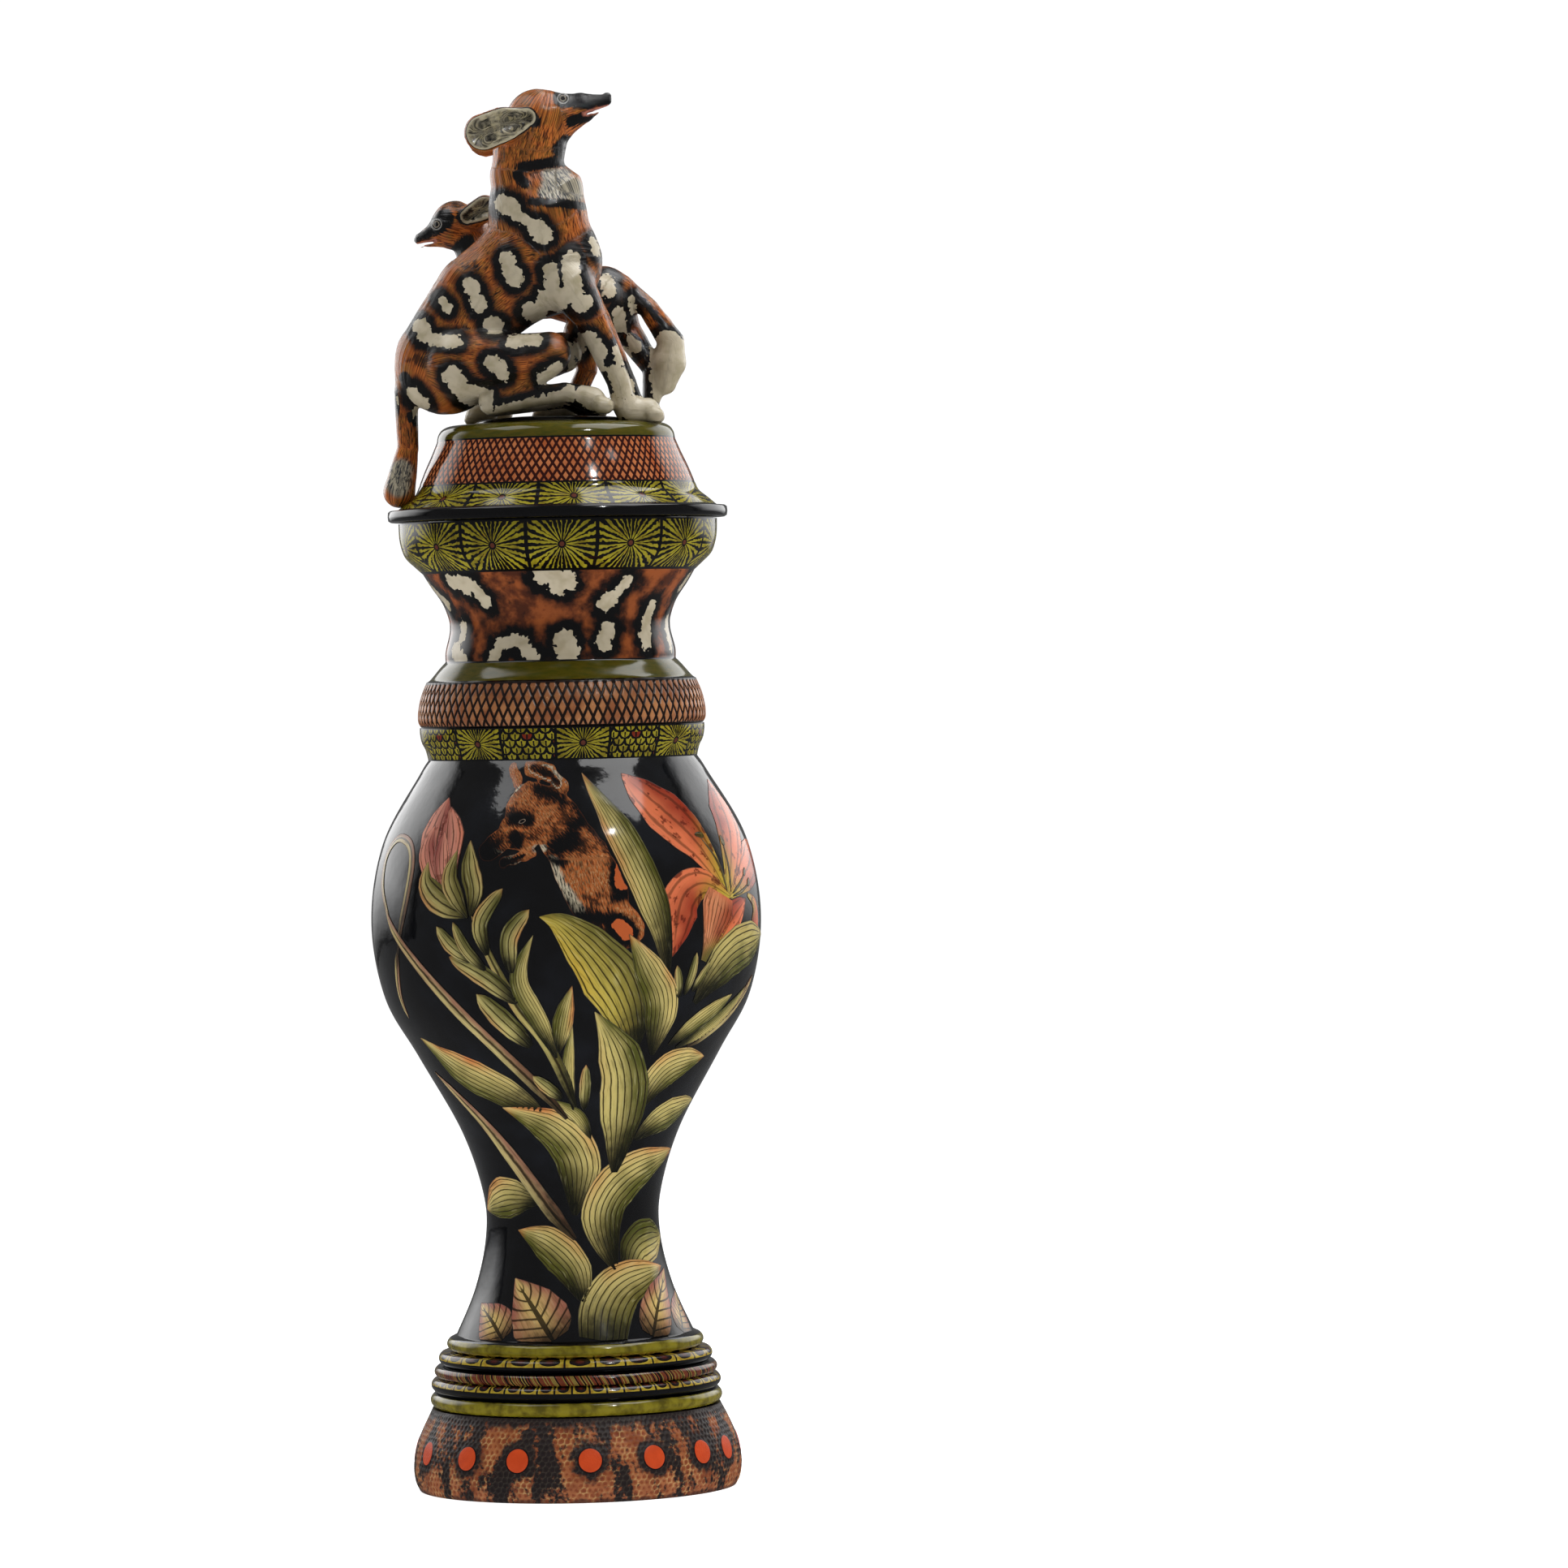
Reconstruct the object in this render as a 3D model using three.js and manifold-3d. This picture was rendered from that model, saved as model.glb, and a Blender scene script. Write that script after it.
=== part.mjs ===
// A tall glazed ceramic urn in three pieces: the thrown body, the neck section that stands on it, and a
// hollow lid that carries two modelled wild dogs. Millimetres, +Z up, origin at the centre of the foot.
import * as THREE from 'three';
import { mergeVertices } from 'three/addons/utils/BufferGeometryUtils.js';
import Module from 'manifold-3d';

// ---------------------------------------------------------------- driving dimensions
const SEGMENTS = 32; // facets round each thrown piece
const WALL = 9; // wall of the body and the neck section
const FLOOR = 13; // thickness of the body's floor
const SEAM_GAP = 0.3; // clearance where one piece rests on another
const COLLAR_CLEARANCE = 1.2; // play of a locating collar in its opening
const COLLAR_DEPTH = 12; // how far a locating collar reaches down
const SEAM_HEIGHT = 516; // where the neck section stands on the body
const LIP_TOP = 654; // where the lid rests on the lip

// The drum foot, from the underside up: each pair is radius and height.
const FOOT = [[107.3, 0], [110.4, 6], [111, 16], [108.4, 32], [97.6, 55.5]];

// The beads above the foot, from the lowest: underside and top heights, and the radius of the crest.
const BEADS = [
  { low: 55.7, high: 66.4, crest: 98.9 },
  { low: 66.4, high: 76.2, crest: 98.2 },
  { low: 76.2, high: 84.3, crest: 95.9 },
  { low: 84.3, high: 94, crest: 92.8 },
  { low: 94, high: 103.6, crest: 87 },
];
const BEAD_STEPS = 3; // facets over one bead
const BEAD_BULGE = 0.42; // depth of a bead as a share of its height
const LEDGE = { radius: 74.8, height: BEADS[2].low }; // the inside of the body behind the beads

// The belly's outline from above the beads to the notch under the green band.
const BELLY = [
  [80.3, 105], [67.1, 135.6], [59.2, 170], [60.2, 200], [74, 243],
  [102, 294], [123.8, 334], [132, 386], [122.7, 439], [97.4, 484], [91, 494],
];
const BELLY_STEPS = 16;
const NECK_STEPS = 6;
const BAND = [[92.7, 501], [95.2, 506], [96.3, 512], [96.3, SEAM_HEIGHT]];

// The neck section: crosshatched ring, cone, waisted neck and flared lip.
const RING = [[97, SEAM_HEIGHT], [97.6, 524], [96, 534], [91.3, 546]];
const NECK = [[84, 554], [77.8, 566], [74.5, 583], [79.2, 600], [89.9, 616], [92.6, 620]];
const LIP = [[97.6, 625], [105, 634], [107.5, 644], [107.8, LIP_TOP]];

// The lid: flat rim, flared skirt, rounded shoulder, and the low mound that the dogs stand on.
const RIM = { radius: 115, thickness: 8.5, bevel: 1.5 };
const SKIRT = [[105, 665], [96, 673.5], [92.2, 682], [84.3, 700], [80.5, 709], [75, 717.5]];
const LID_TOP = [[68, 720], [56, 720.5], [30, 724.5]];
const MOUND_TOP = 725.5;
const LID_WALL = 8.5;

// Sizes of the dogs' surface: grid spacing, and how softly limbs run into each other.
const DOG_CELL = 9.4;
const DOG_BLEND = 5;
const BOX_MARGIN = 1.5 * DOG_CELL; // empty space kept round the limbs
const SETTLE_ROUNDS = 3; // times that each point is moved onto the surface
const SETTLE_STEP = DOG_CELL / 3; // longest such move
const LEAST_STEEPNESS = 0.25; // keeps moves short where the surface creases

// ---------------------------------------------------------------- the dogs' limbs
// A limb is a chain of stations, each [x, y, z, radius], that runs from its root to its tip. `squash`
// narrows the limb sideways. Both dogs are fused to the lid; the sitting dog faces +X and the standing
// dog faces -X.
const SITTING_DOG = [
  {
    name: 'torso', squash: 0.68,
    stations: [[-72, -22, 762, 35], [-47, -22, 804, 33], [-16, -22, 826, 35]],
  },
  { name: 'breast', squash: 0.7, stations: [[-16, -22, 826, 35], [0, -22, 828, 34]] },
  { name: 'shoulders', squash: 0.72, stations: [[-2, -22, 828, 34], [-9, -22, 862, 32]] },
  { name: 'neck', squash: 0.82, stations: [[-9, -22, 862, 32], [-16, -22, 886, 24], [-13, -22, 906, 23]] },
  { name: 'ruff', squash: 0.95, stations: [[-3, -22, 889, 13], [3, -22, 877, 19.5]] },
  { name: 'skull', squash: 0.85, stations: [[-13, -22, 906, 23], [-7, -22, 923, 22]] },
  {
    name: 'muzzle', squash: 0.85,
    stations: [[8, -22, 926, 16], [20, -22, 929.5, 12], [38, -22, 936.5, 5]],
  },
  {
    name: 'near ear', squash: 0.55,
    stations: [[-8, -35, 925, 9], [-34, -44, 917, 13.5], [-44, -46, 913, 11]],
  },
  { name: 'far ear', squash: 0.55, stations: [[-8, -9, 925, 9], [-34, 0, 917, 13.5], [-44, 2, 913, 11]] },
  {
    name: 'near foreleg',
    stations: [[12, -36, 812, 17], [26, -37, 790, 11], [44, -35, 746, 8], [47, -34, 733, 8]],
  },
  { name: 'near forepaw', stations: [[50, -34, 726, 8.5], [65, -31, 727, 8.5]] },
  {
    name: 'far foreleg',
    stations: [[12, -8, 812, 17], [28, -9, 790, 10.5], [48, -11, 746, 7.5], [52, -12, 733, 7.5]],
  },
  { name: 'far forepaw', stations: [[54, -12, 727, 7.5], [66, -13, 727, 8]] },
  { name: 'near thigh', stations: [[-62, -34, 760, 25], [-22, -44, 762, 18], [-2, -45, 766, 14.5]] },
  { name: 'near shank', stations: [[-4, -46, 757, 9], [-42, -46, 735, 8]] },
  { name: 'near hind foot', stations: [[-42, -47, 733, 7.5], [8, -46, 740, 6.5], [30, -45, 733, 10.5]] },
  { name: 'far thigh', stations: [[-62, -10, 760, 25], [-20, -3, 763, 18], [5, -1, 768, 14]] },
  { name: 'far hind foot', stations: [[-42, 0, 733, 7.5], [8, 0, 737, 6.5], [26, -2, 730, 9]] },
  {
    name: 'tail',
    stations: [[-92, -18, 772, 12], [-100, -16, 742, 8], [-99.5, -15, 705, 7.2], [-106, -15, 676, 11]],
  },
];
const STANDING_DOG = [
  { name: 'torso', squash: 0.75, stations: [[-38, 27, 815, 25], [0, 28, 810, 17.5], [32, 29, 805, 23]] },
  { name: 'neck', stations: [[-42, 27, 822, 20], [-56, 27, 848, 13]] },
  { name: 'skull', stations: [[-58, 27, 856, 14], [-66, 27, 858, 16]] },
  { name: 'muzzle', stations: [[-74, 27, 853, 10.5], [-90, 27, 847.5, 4]] },
  { name: 'near ear', squash: 0.75, stations: [[-60, 17, 860, 8], [-45, 11, 867, 9.5]] },
  { name: 'far ear', squash: 0.75, stations: [[-60, 37, 860, 8], [-45, 43, 867, 9.5]] },
  {
    name: 'near foreleg',
    stations: [[-42, 18, 806, 15], [-42, 16, 785, 9], [-46, 15, 745, 6.5], [-47, 15, 733, 6.5]],
  },
  { name: 'near forepaw', stations: [[-47, 15, 728, 7.5], [-56, 15, 727, 8]] },
  {
    name: 'far foreleg',
    stations: [[-42, 37, 806, 15], [-38, 39, 785, 9], [-38, 39, 745, 6.5], [-38, 39, 733, 6.5]],
  },
  { name: 'far forepaw', stations: [[-38, 39, 728, 7.5], [-48, 39, 727, 8]] },
  {
    name: 'near hind leg',
    stations: [[30, 18, 804, 17], [17, 16, 782, 11], [22, 15, 757, 7], [12, 15, 736, 6.5]],
  },
  { name: 'near hind paw', stations: [[8, 15, 729, 7], [-10, 15, 729, 7.5]] },
  {
    name: 'far hind leg',
    stations: [[37, 38, 804, 18], [49, 38, 783, 10], [66, 31, 757, 7], [65, 28, 738, 6.5]],
  },
  { name: 'far hind paw', stations: [[63, 27, 726, 8], [52, 28, 726, 8.5]] },
  {
    name: 'tail',
    stations: [[48, 29, 812, 7.5], [64, 28, 798, 7], [79, 28, 775, 9], [77, 28, 761, 12], [74, 28, 747, 8]],
  },
];

// ---------------------------------------------------------------- thrown pieces
const wasm = await Module();
wasm.setup();

const toPoints = (pairs) => pairs.map(([radius, height]) => new THREE.Vector2(radius, height));

// A smooth outline through a few points.
function smoothOutline(pairs, steps) {
  return new THREE.SplineCurve(toPoints(pairs)).getPoints(steps);
}

// One half-round bead, from its underside to just under its top.
function beadOutline({ low, high, crest }) {
  const half = (high - low) / 2;
  const root = crest - (high - low) * BEAD_BULGE;
  const points = [];
  for (let step = 0; step < BEAD_STEPS; step += 1) {
    const angle = Math.PI * (step / BEAD_STEPS - 0.5);
    const radius = root + (crest - root) * Math.cos(angle);
    points.push(new THREE.Vector2(radius, low + half + half * Math.sin(angle)));
  }
  return points;
}

// Half of an outline's points, for the plainer inside.
const everyOther = (points) => points.filter((_, index) => index % 2 === 0);

// The inside of an outline: every point moved into the material by the wall thickness, top first.
function innerOutline(points, wall) {
  const inside = [];
  for (let index = 1; index < points.length - 1; index += 1) {
    const along = points[index + 1].clone().sub(points[index - 1]).normalize();
    inside.push(new THREE.Vector2(points[index].x - wall * along.y, points[index].y + wall * along.x));
  }
  return inside.reverse();
}

// Turns an outline round the vertical axis.
function turn(points) {
  const geometry = new THREE.LatheGeometry(points, SEGMENTS);
  geometry.rotateX(Math.PI / 2);
  return geometry;
}

function bodyGeometry() {
  const belly = smoothOutline(BELLY, BELLY_STEPS);
  const outside = [...toPoints(FOOT), ...BEADS.flatMap(beadOutline), ...belly, ...toPoints(BAND)];
  const mouth = BELLY.at(-1)[0] - WALL;
  const inside = [
    new THREE.Vector2(mouth, SEAM_HEIGHT),
    new THREE.Vector2(mouth, BELLY.at(-1)[1]),
    ...innerOutline(everyOther(belly), WALL),
    new THREE.Vector2(LEDGE.radius, LEDGE.height),
    new THREE.Vector2(FOOT[1][0] - 2 * WALL, FLOOR),
    new THREE.Vector2(0, FLOOR),
  ];
  return turn([new THREE.Vector2(0, 0), ...outside, ...inside]);
}

function neckGeometry() {
  const collarRadius = BELLY.at(-1)[0] - WALL - COLLAR_CLEARANCE;
  const bottom = SEAM_HEIGHT + SEAM_GAP;
  const ring = toPoints(RING);
  ring[0].y = bottom;
  const neck = smoothOutline(NECK, NECK_STEPS);
  const outside = [...ring, ...neck, ...toPoints(LIP)];
  const mouth = LIP.at(-1)[0] - 2 * WALL;
  const inside = [
    new THREE.Vector2(mouth, LIP_TOP),
    new THREE.Vector2(mouth, LIP[1][1]),
    ...innerOutline(everyOther(neck), WALL),
    new THREE.Vector2(collarRadius - WALL, bottom - COLLAR_DEPTH),
    new THREE.Vector2(collarRadius, bottom - COLLAR_DEPTH),
    new THREE.Vector2(collarRadius, bottom),
  ];
  const loop = [...outside, ...inside];
  return turn([...loop, loop[0].clone()]);
}

function lidGeometry() {
  const bottom = LIP_TOP + SEAM_GAP;
  const rimTop = bottom + RIM.thickness;
  const collarRadius = LIP.at(-1)[0] - 2 * WALL - COLLAR_CLEARANCE;
  const skirt = toPoints(SKIRT);
  const outside = [
    new THREE.Vector2(RIM.radius - RIM.bevel, bottom),
    new THREE.Vector2(RIM.radius, bottom + RIM.bevel),
    new THREE.Vector2(RIM.radius, rimTop - RIM.bevel),
    new THREE.Vector2(RIM.radius - RIM.bevel, rimTop),
    ...skirt,
    ...toPoints(LID_TOP),
    new THREE.Vector2(0, MOUND_TOP),
  ];
  const roof = SKIRT.at(-1)[1] - LID_WALL;
  const inside = [
    new THREE.Vector2(0, roof),
    new THREE.Vector2(SKIRT.at(-1)[0] - 2 * LID_WALL, roof),
    ...innerOutline(skirt, LID_WALL),
    new THREE.Vector2(collarRadius - LID_WALL, bottom - COLLAR_DEPTH),
    new THREE.Vector2(collarRadius, bottom - COLLAR_DEPTH),
    new THREE.Vector2(collarRadius, bottom),
  ];
  return turn([...inside, ...outside]);
}

// ---------------------------------------------------------------- modelled dogs
// Distance from a point to a limb's surface, negative inside.
function limbDistance(x, y, z, { stations, squash = 1 }) {
  let nearest = Infinity;
  for (let index = 1; index < stations.length; index += 1) {
    const [ax, ay, az, ar] = stations[index - 1];
    const [bx, by, bz, br] = stations[index];
    const [dx, dy, dz] = [bx - ax, by - ay, bz - az];
    const along = ((x - ax) * dx + (y - ay) * dy + (z - az) * dz) / (dx * dx + dy * dy + dz * dz);
    const share = THREE.MathUtils.clamp(along, 0, 1);
    const side = (y - ay - share * dy) / squash;
    const gap = Math.hypot(x - ax - share * dx, side, z - az - share * dz);
    nearest = Math.min(nearest, gap - THREE.MathUtils.lerp(ar, br, share));
  }
  return nearest;
}

// The limbs of one dog melted together.
function dogDistance(x, y, z, limbs) {
  let merged = Infinity;
  for (const limb of limbs) {
    const distance = limbDistance(x, y, z, limb);
    const mix = Math.max(DOG_BLEND - Math.abs(merged - distance), 0) / DOG_BLEND;
    merged = Math.min(merged, distance) - (mix * mix * DOG_BLEND) / 4;
  }
  return merged;
}

const dogsDistance = ([x, y, z]) =>
  Math.min(dogDistance(x, y, z, SITTING_DOG), dogDistance(x, y, z, STANDING_DOG));

// The box round every limb, with its margin.
function limbsBox() {
  const box = new THREE.Box3();
  for (const { stations } of [...SITTING_DOG, ...STANDING_DOG]) {
    for (const [x, y, z, radius] of stations) {
      const centre = new THREE.Vector3(x, y, z);
      box.expandByPoint(centre.clone().addScalar(radius));
      box.expandByPoint(centre.clone().addScalar(-radius));
    }
  }
  return box.expandByScalar(BOX_MARGIN);
}

// Moves a point along the slope of the distance field until it lies on the surface.
function settle(point) {
  const reach = 0.5;
  for (let round = 0; round < SETTLE_ROUNDS; round += 1) {
    const here = dogsDistance(point);
    const slope = [0, 1, 2].map((axis) => {
      const beside = [...point];
      beside[axis] += reach;
      return (dogsDistance(beside) - here) / reach;
    });
    const steepness = Math.max(slope[0] ** 2 + slope[1] ** 2 + slope[2] ** 2, LEAST_STEEPNESS);
    for (let axis = 0; axis < 3; axis += 1) {
      point[axis] -= THREE.MathUtils.clamp((here * slope[axis]) / steepness, -SETTLE_STEP, SETTLE_STEP);
    }
  }
  return point;
}

// The corners of each face of a grid cell, in order round the face. A corner's number holds one bit
// per axis.
const CELL_FACES = [0, 1, 2].flatMap((axis) => {
  const [across, up] = [1 << ((axis + 1) % 3), 1 << ((axis + 2) % 3)];
  return [0, 1 << axis].map((side) => [side, side | across, side | across | up, side | up]);
});
const edgeKey = (a, b) => Math.min(a, b) * 8 + Math.max(a, b);

// The crossed edges of one cell, sorted into the separate sheets of surface that pass through it.
function sheetsOf(inside) {
  const sheet = new Map();
  const join = (first, second) => {
    const [kept, dropped] = [sheet.get(first) ?? first, sheet.get(second) ?? second];
    sheet.set(first, kept);
    sheet.set(second, kept);
    sheet.forEach((value, key) => value === dropped && sheet.set(key, kept));
  };
  for (const face of CELL_FACES) {
    const sides = face.map((corner, index) => [corner, face[(index + 1) % 4]]);
    const crossed = sides.filter(([a, b]) => inside[a] !== inside[b]).map(([a, b]) => edgeKey(a, b));
    if (crossed.length === 2) join(crossed[0], crossed[1]);
    if (crossed.length !== 4) continue;
    face.forEach((corner, index) => {
      const [before, after] = [face[(index + 3) % 4], face[(index + 1) % 4]];
      if (inside[corner]) join(edgeKey(before, corner), edgeKey(corner, after));
    });
  }
  return sheet;
}

// A closed mesh of the surface where the distance is zero: one vertex for each sheet of surface in a grid
// cell, and one four-sided face round each grid edge that the surface crosses.
function dogsMesh() {
  const box = limbsBox();
  const low = box.min.toArray();
  const count = box.getSize(new THREE.Vector3()).toArray().map((size) => Math.ceil(size / DOG_CELL) + 1);
  const strides = [1, count[0], count[0] * count[1]];
  const place = (i, j, k) => [low[0] + i * DOG_CELL, low[1] + j * DOG_CELL, low[2] + k * DOG_CELL];
  const values = new Float32Array(count[0] * count[1] * count[2]);
  const eachNode = (visit) => {
    for (let k = 0; k < count[2]; k += 1) {
      for (let j = 0; j < count[1]; j += 1) {
        for (let i = 0; i < count[0]; i += 1) visit(i, j, k, i + j * strides[1] + k * strides[2]);
      }
    }
  };
  eachNode((i, j, k, node) => {
    values[node] = dogsDistance(place(i, j, k));
  });

  const bits = (corner) => [corner & 1, (corner >> 1) & 1, corner >> 2];
  const vertexAt = new Map();
  const positions = [];
  eachNode((i, j, k, node) => {
    if (i + 1 >= count[0] || j + 1 >= count[1] || k + 1 >= count[2]) return;
    const corner = [0, 1, 2, 3, 4, 5, 6, 7].map((number) => {
      const [right, back, above] = bits(number);
      return values[node + right + back * strides[1] + above * strides[2]];
    });
    const sums = new Map();
    sheetsOf(corner.map((value) => value < 0)).forEach((sheet, key) => {
      const [from, to] = [key >> 3, key & 7];
      const share = corner[from] / (corner[from] - corner[to]);
      const [start, end] = [bits(from), bits(to)];
      const sum = sums.get(sheet) ?? { crossing: [0, 0, 0], keys: [] };
      const crossing = start.map((part, axis) => part + share * (end[axis] - part));
      sum.crossing = sum.crossing.map((part, axis) => part + crossing[axis]);
      sum.keys.push(key);
      sums.set(sheet, sum);
    });
    const base = place(i, j, k);
    sums.forEach(({ crossing, keys }) => {
      keys.forEach((key) => vertexAt.set(node * 64 + key, positions.length));
      positions.push(settle(base.map((value, axis) => value + (DOG_CELL * crossing[axis]) / keys.length)));
    });
  });

  const triangles = [];
  const span = (a, b) => Math.hypot(...a.map((part, axis) => part - b[axis]));
  eachNode((i, j, k, node) => {
    for (let axis = 0; axis < 3; axis += 1) {
      const next = values[node + strides[axis]];
      if (next === undefined || values[node] < 0 === next < 0) continue;
      const [first, second] = [(axis + 1) % 3, (axis + 2) % 3];
      const ring = [[1, 1], [0, 1], [0, 0], [1, 0]].map(([back, down]) => {
        const from = (back << first) | (down << second);
        const cell = node - back * strides[first] - down * strides[second];
        return vertexAt.get(cell * 64 + edgeKey(from, from | (1 << axis)));
      });
      if (values[node] >= 0) ring.reverse();
      const [a, b, c, d] = ring.map((vertex) => positions[vertex]);
      if (span(a, c) > span(b, d)) ring.push(ring.shift());
      triangles.push(ring[0], ring[1], ring[2], ring[0], ring[2], ring[3]);
    }
  });
  return { positions, triangles };
}

// ---------------------------------------------------------------- joining
// A turned piece as a solid for joining: shared corners merged and the slivers on the axis dropped.
function solidFromGeometry(source) {
  const bare = source.clone();
  bare.deleteAttribute('normal');
  bare.deleteAttribute('uv');
  const merged = mergeVertices(bare, 1e-3);
  const index = merged.index.array;
  const kept = [];
  for (let face = 0; face < index.length; face += 3) {
    const [a, b, c] = [index[face], index[face + 1], index[face + 2]];
    if (a !== b && b !== c && c !== a) kept.push(a, b, c);
  }
  const vertProperties = new Float32Array(merged.attributes.position.array);
  return new wasm.Manifold(new wasm.Mesh({ numProp: 3, vertProperties, triVerts: new Uint32Array(kept) }));
}

function lidWithDogs() {
  const { positions, triangles } = dogsMesh();
  const vertProperties = new Float32Array(positions.flat());
  const dogs = new wasm.Manifold(
    new wasm.Mesh({ numProp: 3, vertProperties, triVerts: new Uint32Array(triangles) }),
  );
  const joined = solidFromGeometry(lidGeometry()).add(dogs).getMesh();
  const geometry = new THREE.BufferGeometry();
  geometry.setAttribute('position', new THREE.BufferAttribute(joined.vertProperties, 3));
  geometry.setIndex(new THREE.BufferAttribute(joined.triVerts, 1));
  geometry.computeVertexNormals();
  return geometry;
}

// ---------------------------------------------------------------- the urn
function piece(name, geometry, color, roughness) {
  const material = new THREE.MeshStandardMaterial({ color, roughness, metalness: 0 });
  const mesh = new THREE.Mesh(geometry, material);
  mesh.name = name;
  return mesh;
}

const urn = new THREE.Group();
urn.add(piece('vase_body', bodyGeometry(), 0x14130f, 0.12));
urn.add(piece('neck_section', neckGeometry(), 0x9a5a2c, 0.2));
urn.add(piece('lid', lidWithDogs(), 0xb46a34, 0.15));

export default urn;
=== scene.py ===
"""Looks of a lidded ceramic urn with two wild dogs on its lid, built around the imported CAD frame.

The urn stands on z = 0 and its axis is the z axis. Sizes are written in millimetres and turned into metres
where a mesh is made. An angle round the urn is 0 at the front (-y) and grows towards +x.
"""
import itertools
import math

import bpy
import numpy as np
from mathutils import Matrix, Vector


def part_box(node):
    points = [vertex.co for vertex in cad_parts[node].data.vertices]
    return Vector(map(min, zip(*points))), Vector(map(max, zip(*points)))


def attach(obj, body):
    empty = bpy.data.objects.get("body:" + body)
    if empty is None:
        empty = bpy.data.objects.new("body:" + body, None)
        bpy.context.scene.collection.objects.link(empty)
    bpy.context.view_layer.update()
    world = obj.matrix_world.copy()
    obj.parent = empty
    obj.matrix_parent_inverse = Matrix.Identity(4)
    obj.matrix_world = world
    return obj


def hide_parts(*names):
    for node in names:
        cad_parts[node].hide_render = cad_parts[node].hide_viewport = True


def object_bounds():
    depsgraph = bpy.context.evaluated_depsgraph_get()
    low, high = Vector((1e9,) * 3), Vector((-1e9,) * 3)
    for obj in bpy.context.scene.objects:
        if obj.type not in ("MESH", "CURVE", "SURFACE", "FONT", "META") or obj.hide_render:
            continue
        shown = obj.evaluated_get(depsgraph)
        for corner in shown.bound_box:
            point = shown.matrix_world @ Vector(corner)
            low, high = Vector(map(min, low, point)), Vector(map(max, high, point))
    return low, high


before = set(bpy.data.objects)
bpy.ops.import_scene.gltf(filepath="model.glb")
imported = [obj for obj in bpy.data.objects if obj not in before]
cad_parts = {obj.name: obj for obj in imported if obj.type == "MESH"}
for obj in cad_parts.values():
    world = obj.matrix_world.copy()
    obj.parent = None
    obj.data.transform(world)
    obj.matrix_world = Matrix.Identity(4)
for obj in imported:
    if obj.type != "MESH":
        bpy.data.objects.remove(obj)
cad_low, cad_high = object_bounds()

MM = 0.001
BODY = "root"
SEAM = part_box("vase_body")[1].z / MM
LIP_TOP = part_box("neck_section")[1].z / MM
TURN = 360.0

# ---------------------------------------------------------------- outlines of the turned pieces
# Each pair is a radius and a height, except that a bead is its underside, its top and its crest's radius.
FOOT = [(107.3, 0), (110, 5.8), (111.1, 14), (110.6, 22), (108.4, 32), (102.9, 45), (97.6, 55.5)]
BEADS = [(55.7, 66.4, 98.9), (66.4, 76.2, 98.2), (76.2, 84.3, 95.9), (84.3, 94, 92.8), (94, 103.6, 87)]
BELLY = [(80.3, 105), (67.1, 135.6), (59.2, 170), (60.2, 200), (74, 243), (102, 294), (123.8, 334),
         (132, 386), (122.7, 439), (97.4, 484), (91, 494)]
BAND = [(91, 494), (92.7, 501), (95.2, 506), (96.3, 512), (96.3, 516)]
RING = [(95.4, 516.4), (97.3, 520), (97.4, 526), (96, 534), (94.1, 540), (91.3, 546.5)]
CONE = [(91.3, 546.5), (88.4, 548.5), (82, 556), (78.1, 560)]
THROAT = [(77.9, 560.6), (77.8, 567), (75.1, 578), (74.5, 583), (75.1, 589), (79.2, 600), (86.6, 611),
          (92, 620)]
LIP = [(92.6, 620.4), (97.6, 625), (102.3, 629.5), (105, 634), (107.3, 643), (107.8, 654)]
RIM = [(88, 655.2), (113, 655.2), (114.6, 656.2), (115, 659), (114.7, 662), (113.4, 663)]
ROSETTE_SKIRT = [(108, 663.4), (101.5, 669), (96, 673.5), (93.8, 678)]
HATCH_SKIRT = [(93.2, 679), (92.2, 682), (88.5, 691), (84.3, 700), (80.7, 708.5)]
SHOULDER = [(80.5, 709.3), (79.8, 713), (77.6, 716.6), (73.5, 719), (68, 719.9), (56, 720.5)]
MOUND = [(55.5, 721), (54, 722.6), (30, 724.8), (0, 725.5)]


def catmull(points, steps):
    """A smooth line through the points, with the given number of steps between each two."""
    points = np.asarray(points, float)
    line = []
    for index in range(len(points) - 1):
        before = points[max(index - 1, 0)]
        start, end = points[index], points[index + 1]
        after = points[min(index + 2, len(points) - 1)]
        leave, arrive = (end - before) / 2, (after - start) / 2
        for share in np.arange(steps) / steps:
            square, cube = share**2, share**3
            line.append((2 * cube - 3 * square + 1) * start + (cube - 2 * square + share) * leave
                        + (3 * square - 2 * cube) * end + (cube - square) * arrive)
    line.append(points[-1])
    return np.array(line)


def spaced(line, step):
    """The same line with its points about one step apart."""
    line = np.asarray(line, float)
    length = np.concatenate([[0], np.cumsum(np.hypot(*np.diff(line, axis=0).T))])
    count = max(2, int(round(length[-1] / step)) + 1)
    at = np.linspace(0, length[-1], count)
    return np.stack([np.interp(at, length, line[:, 0]), np.interp(at, length, line[:, 1])], -1)


def smoothstep(value, low, high):
    share = np.clip((value - low) / (high - low), 0, 1)
    return share * share * (3 - 2 * share)


def random_at(cell, seed):
    """A repeatable random number from 0 to 1 for each row of whole numbers."""
    key = seed * 2654435761
    for axis, prime in enumerate((73856093, 19349663, 83492791)):
        key = key ^ (cell[..., axis] * prime)
    key = ((key & 0xFFFFFFFF) ^ ((key & 0xFFFFFFFF) >> 13)) * 1274126177 & 0xFFFFFFFF
    return (key ^ (key >> 16)) / 0xFFFFFFFF


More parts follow.
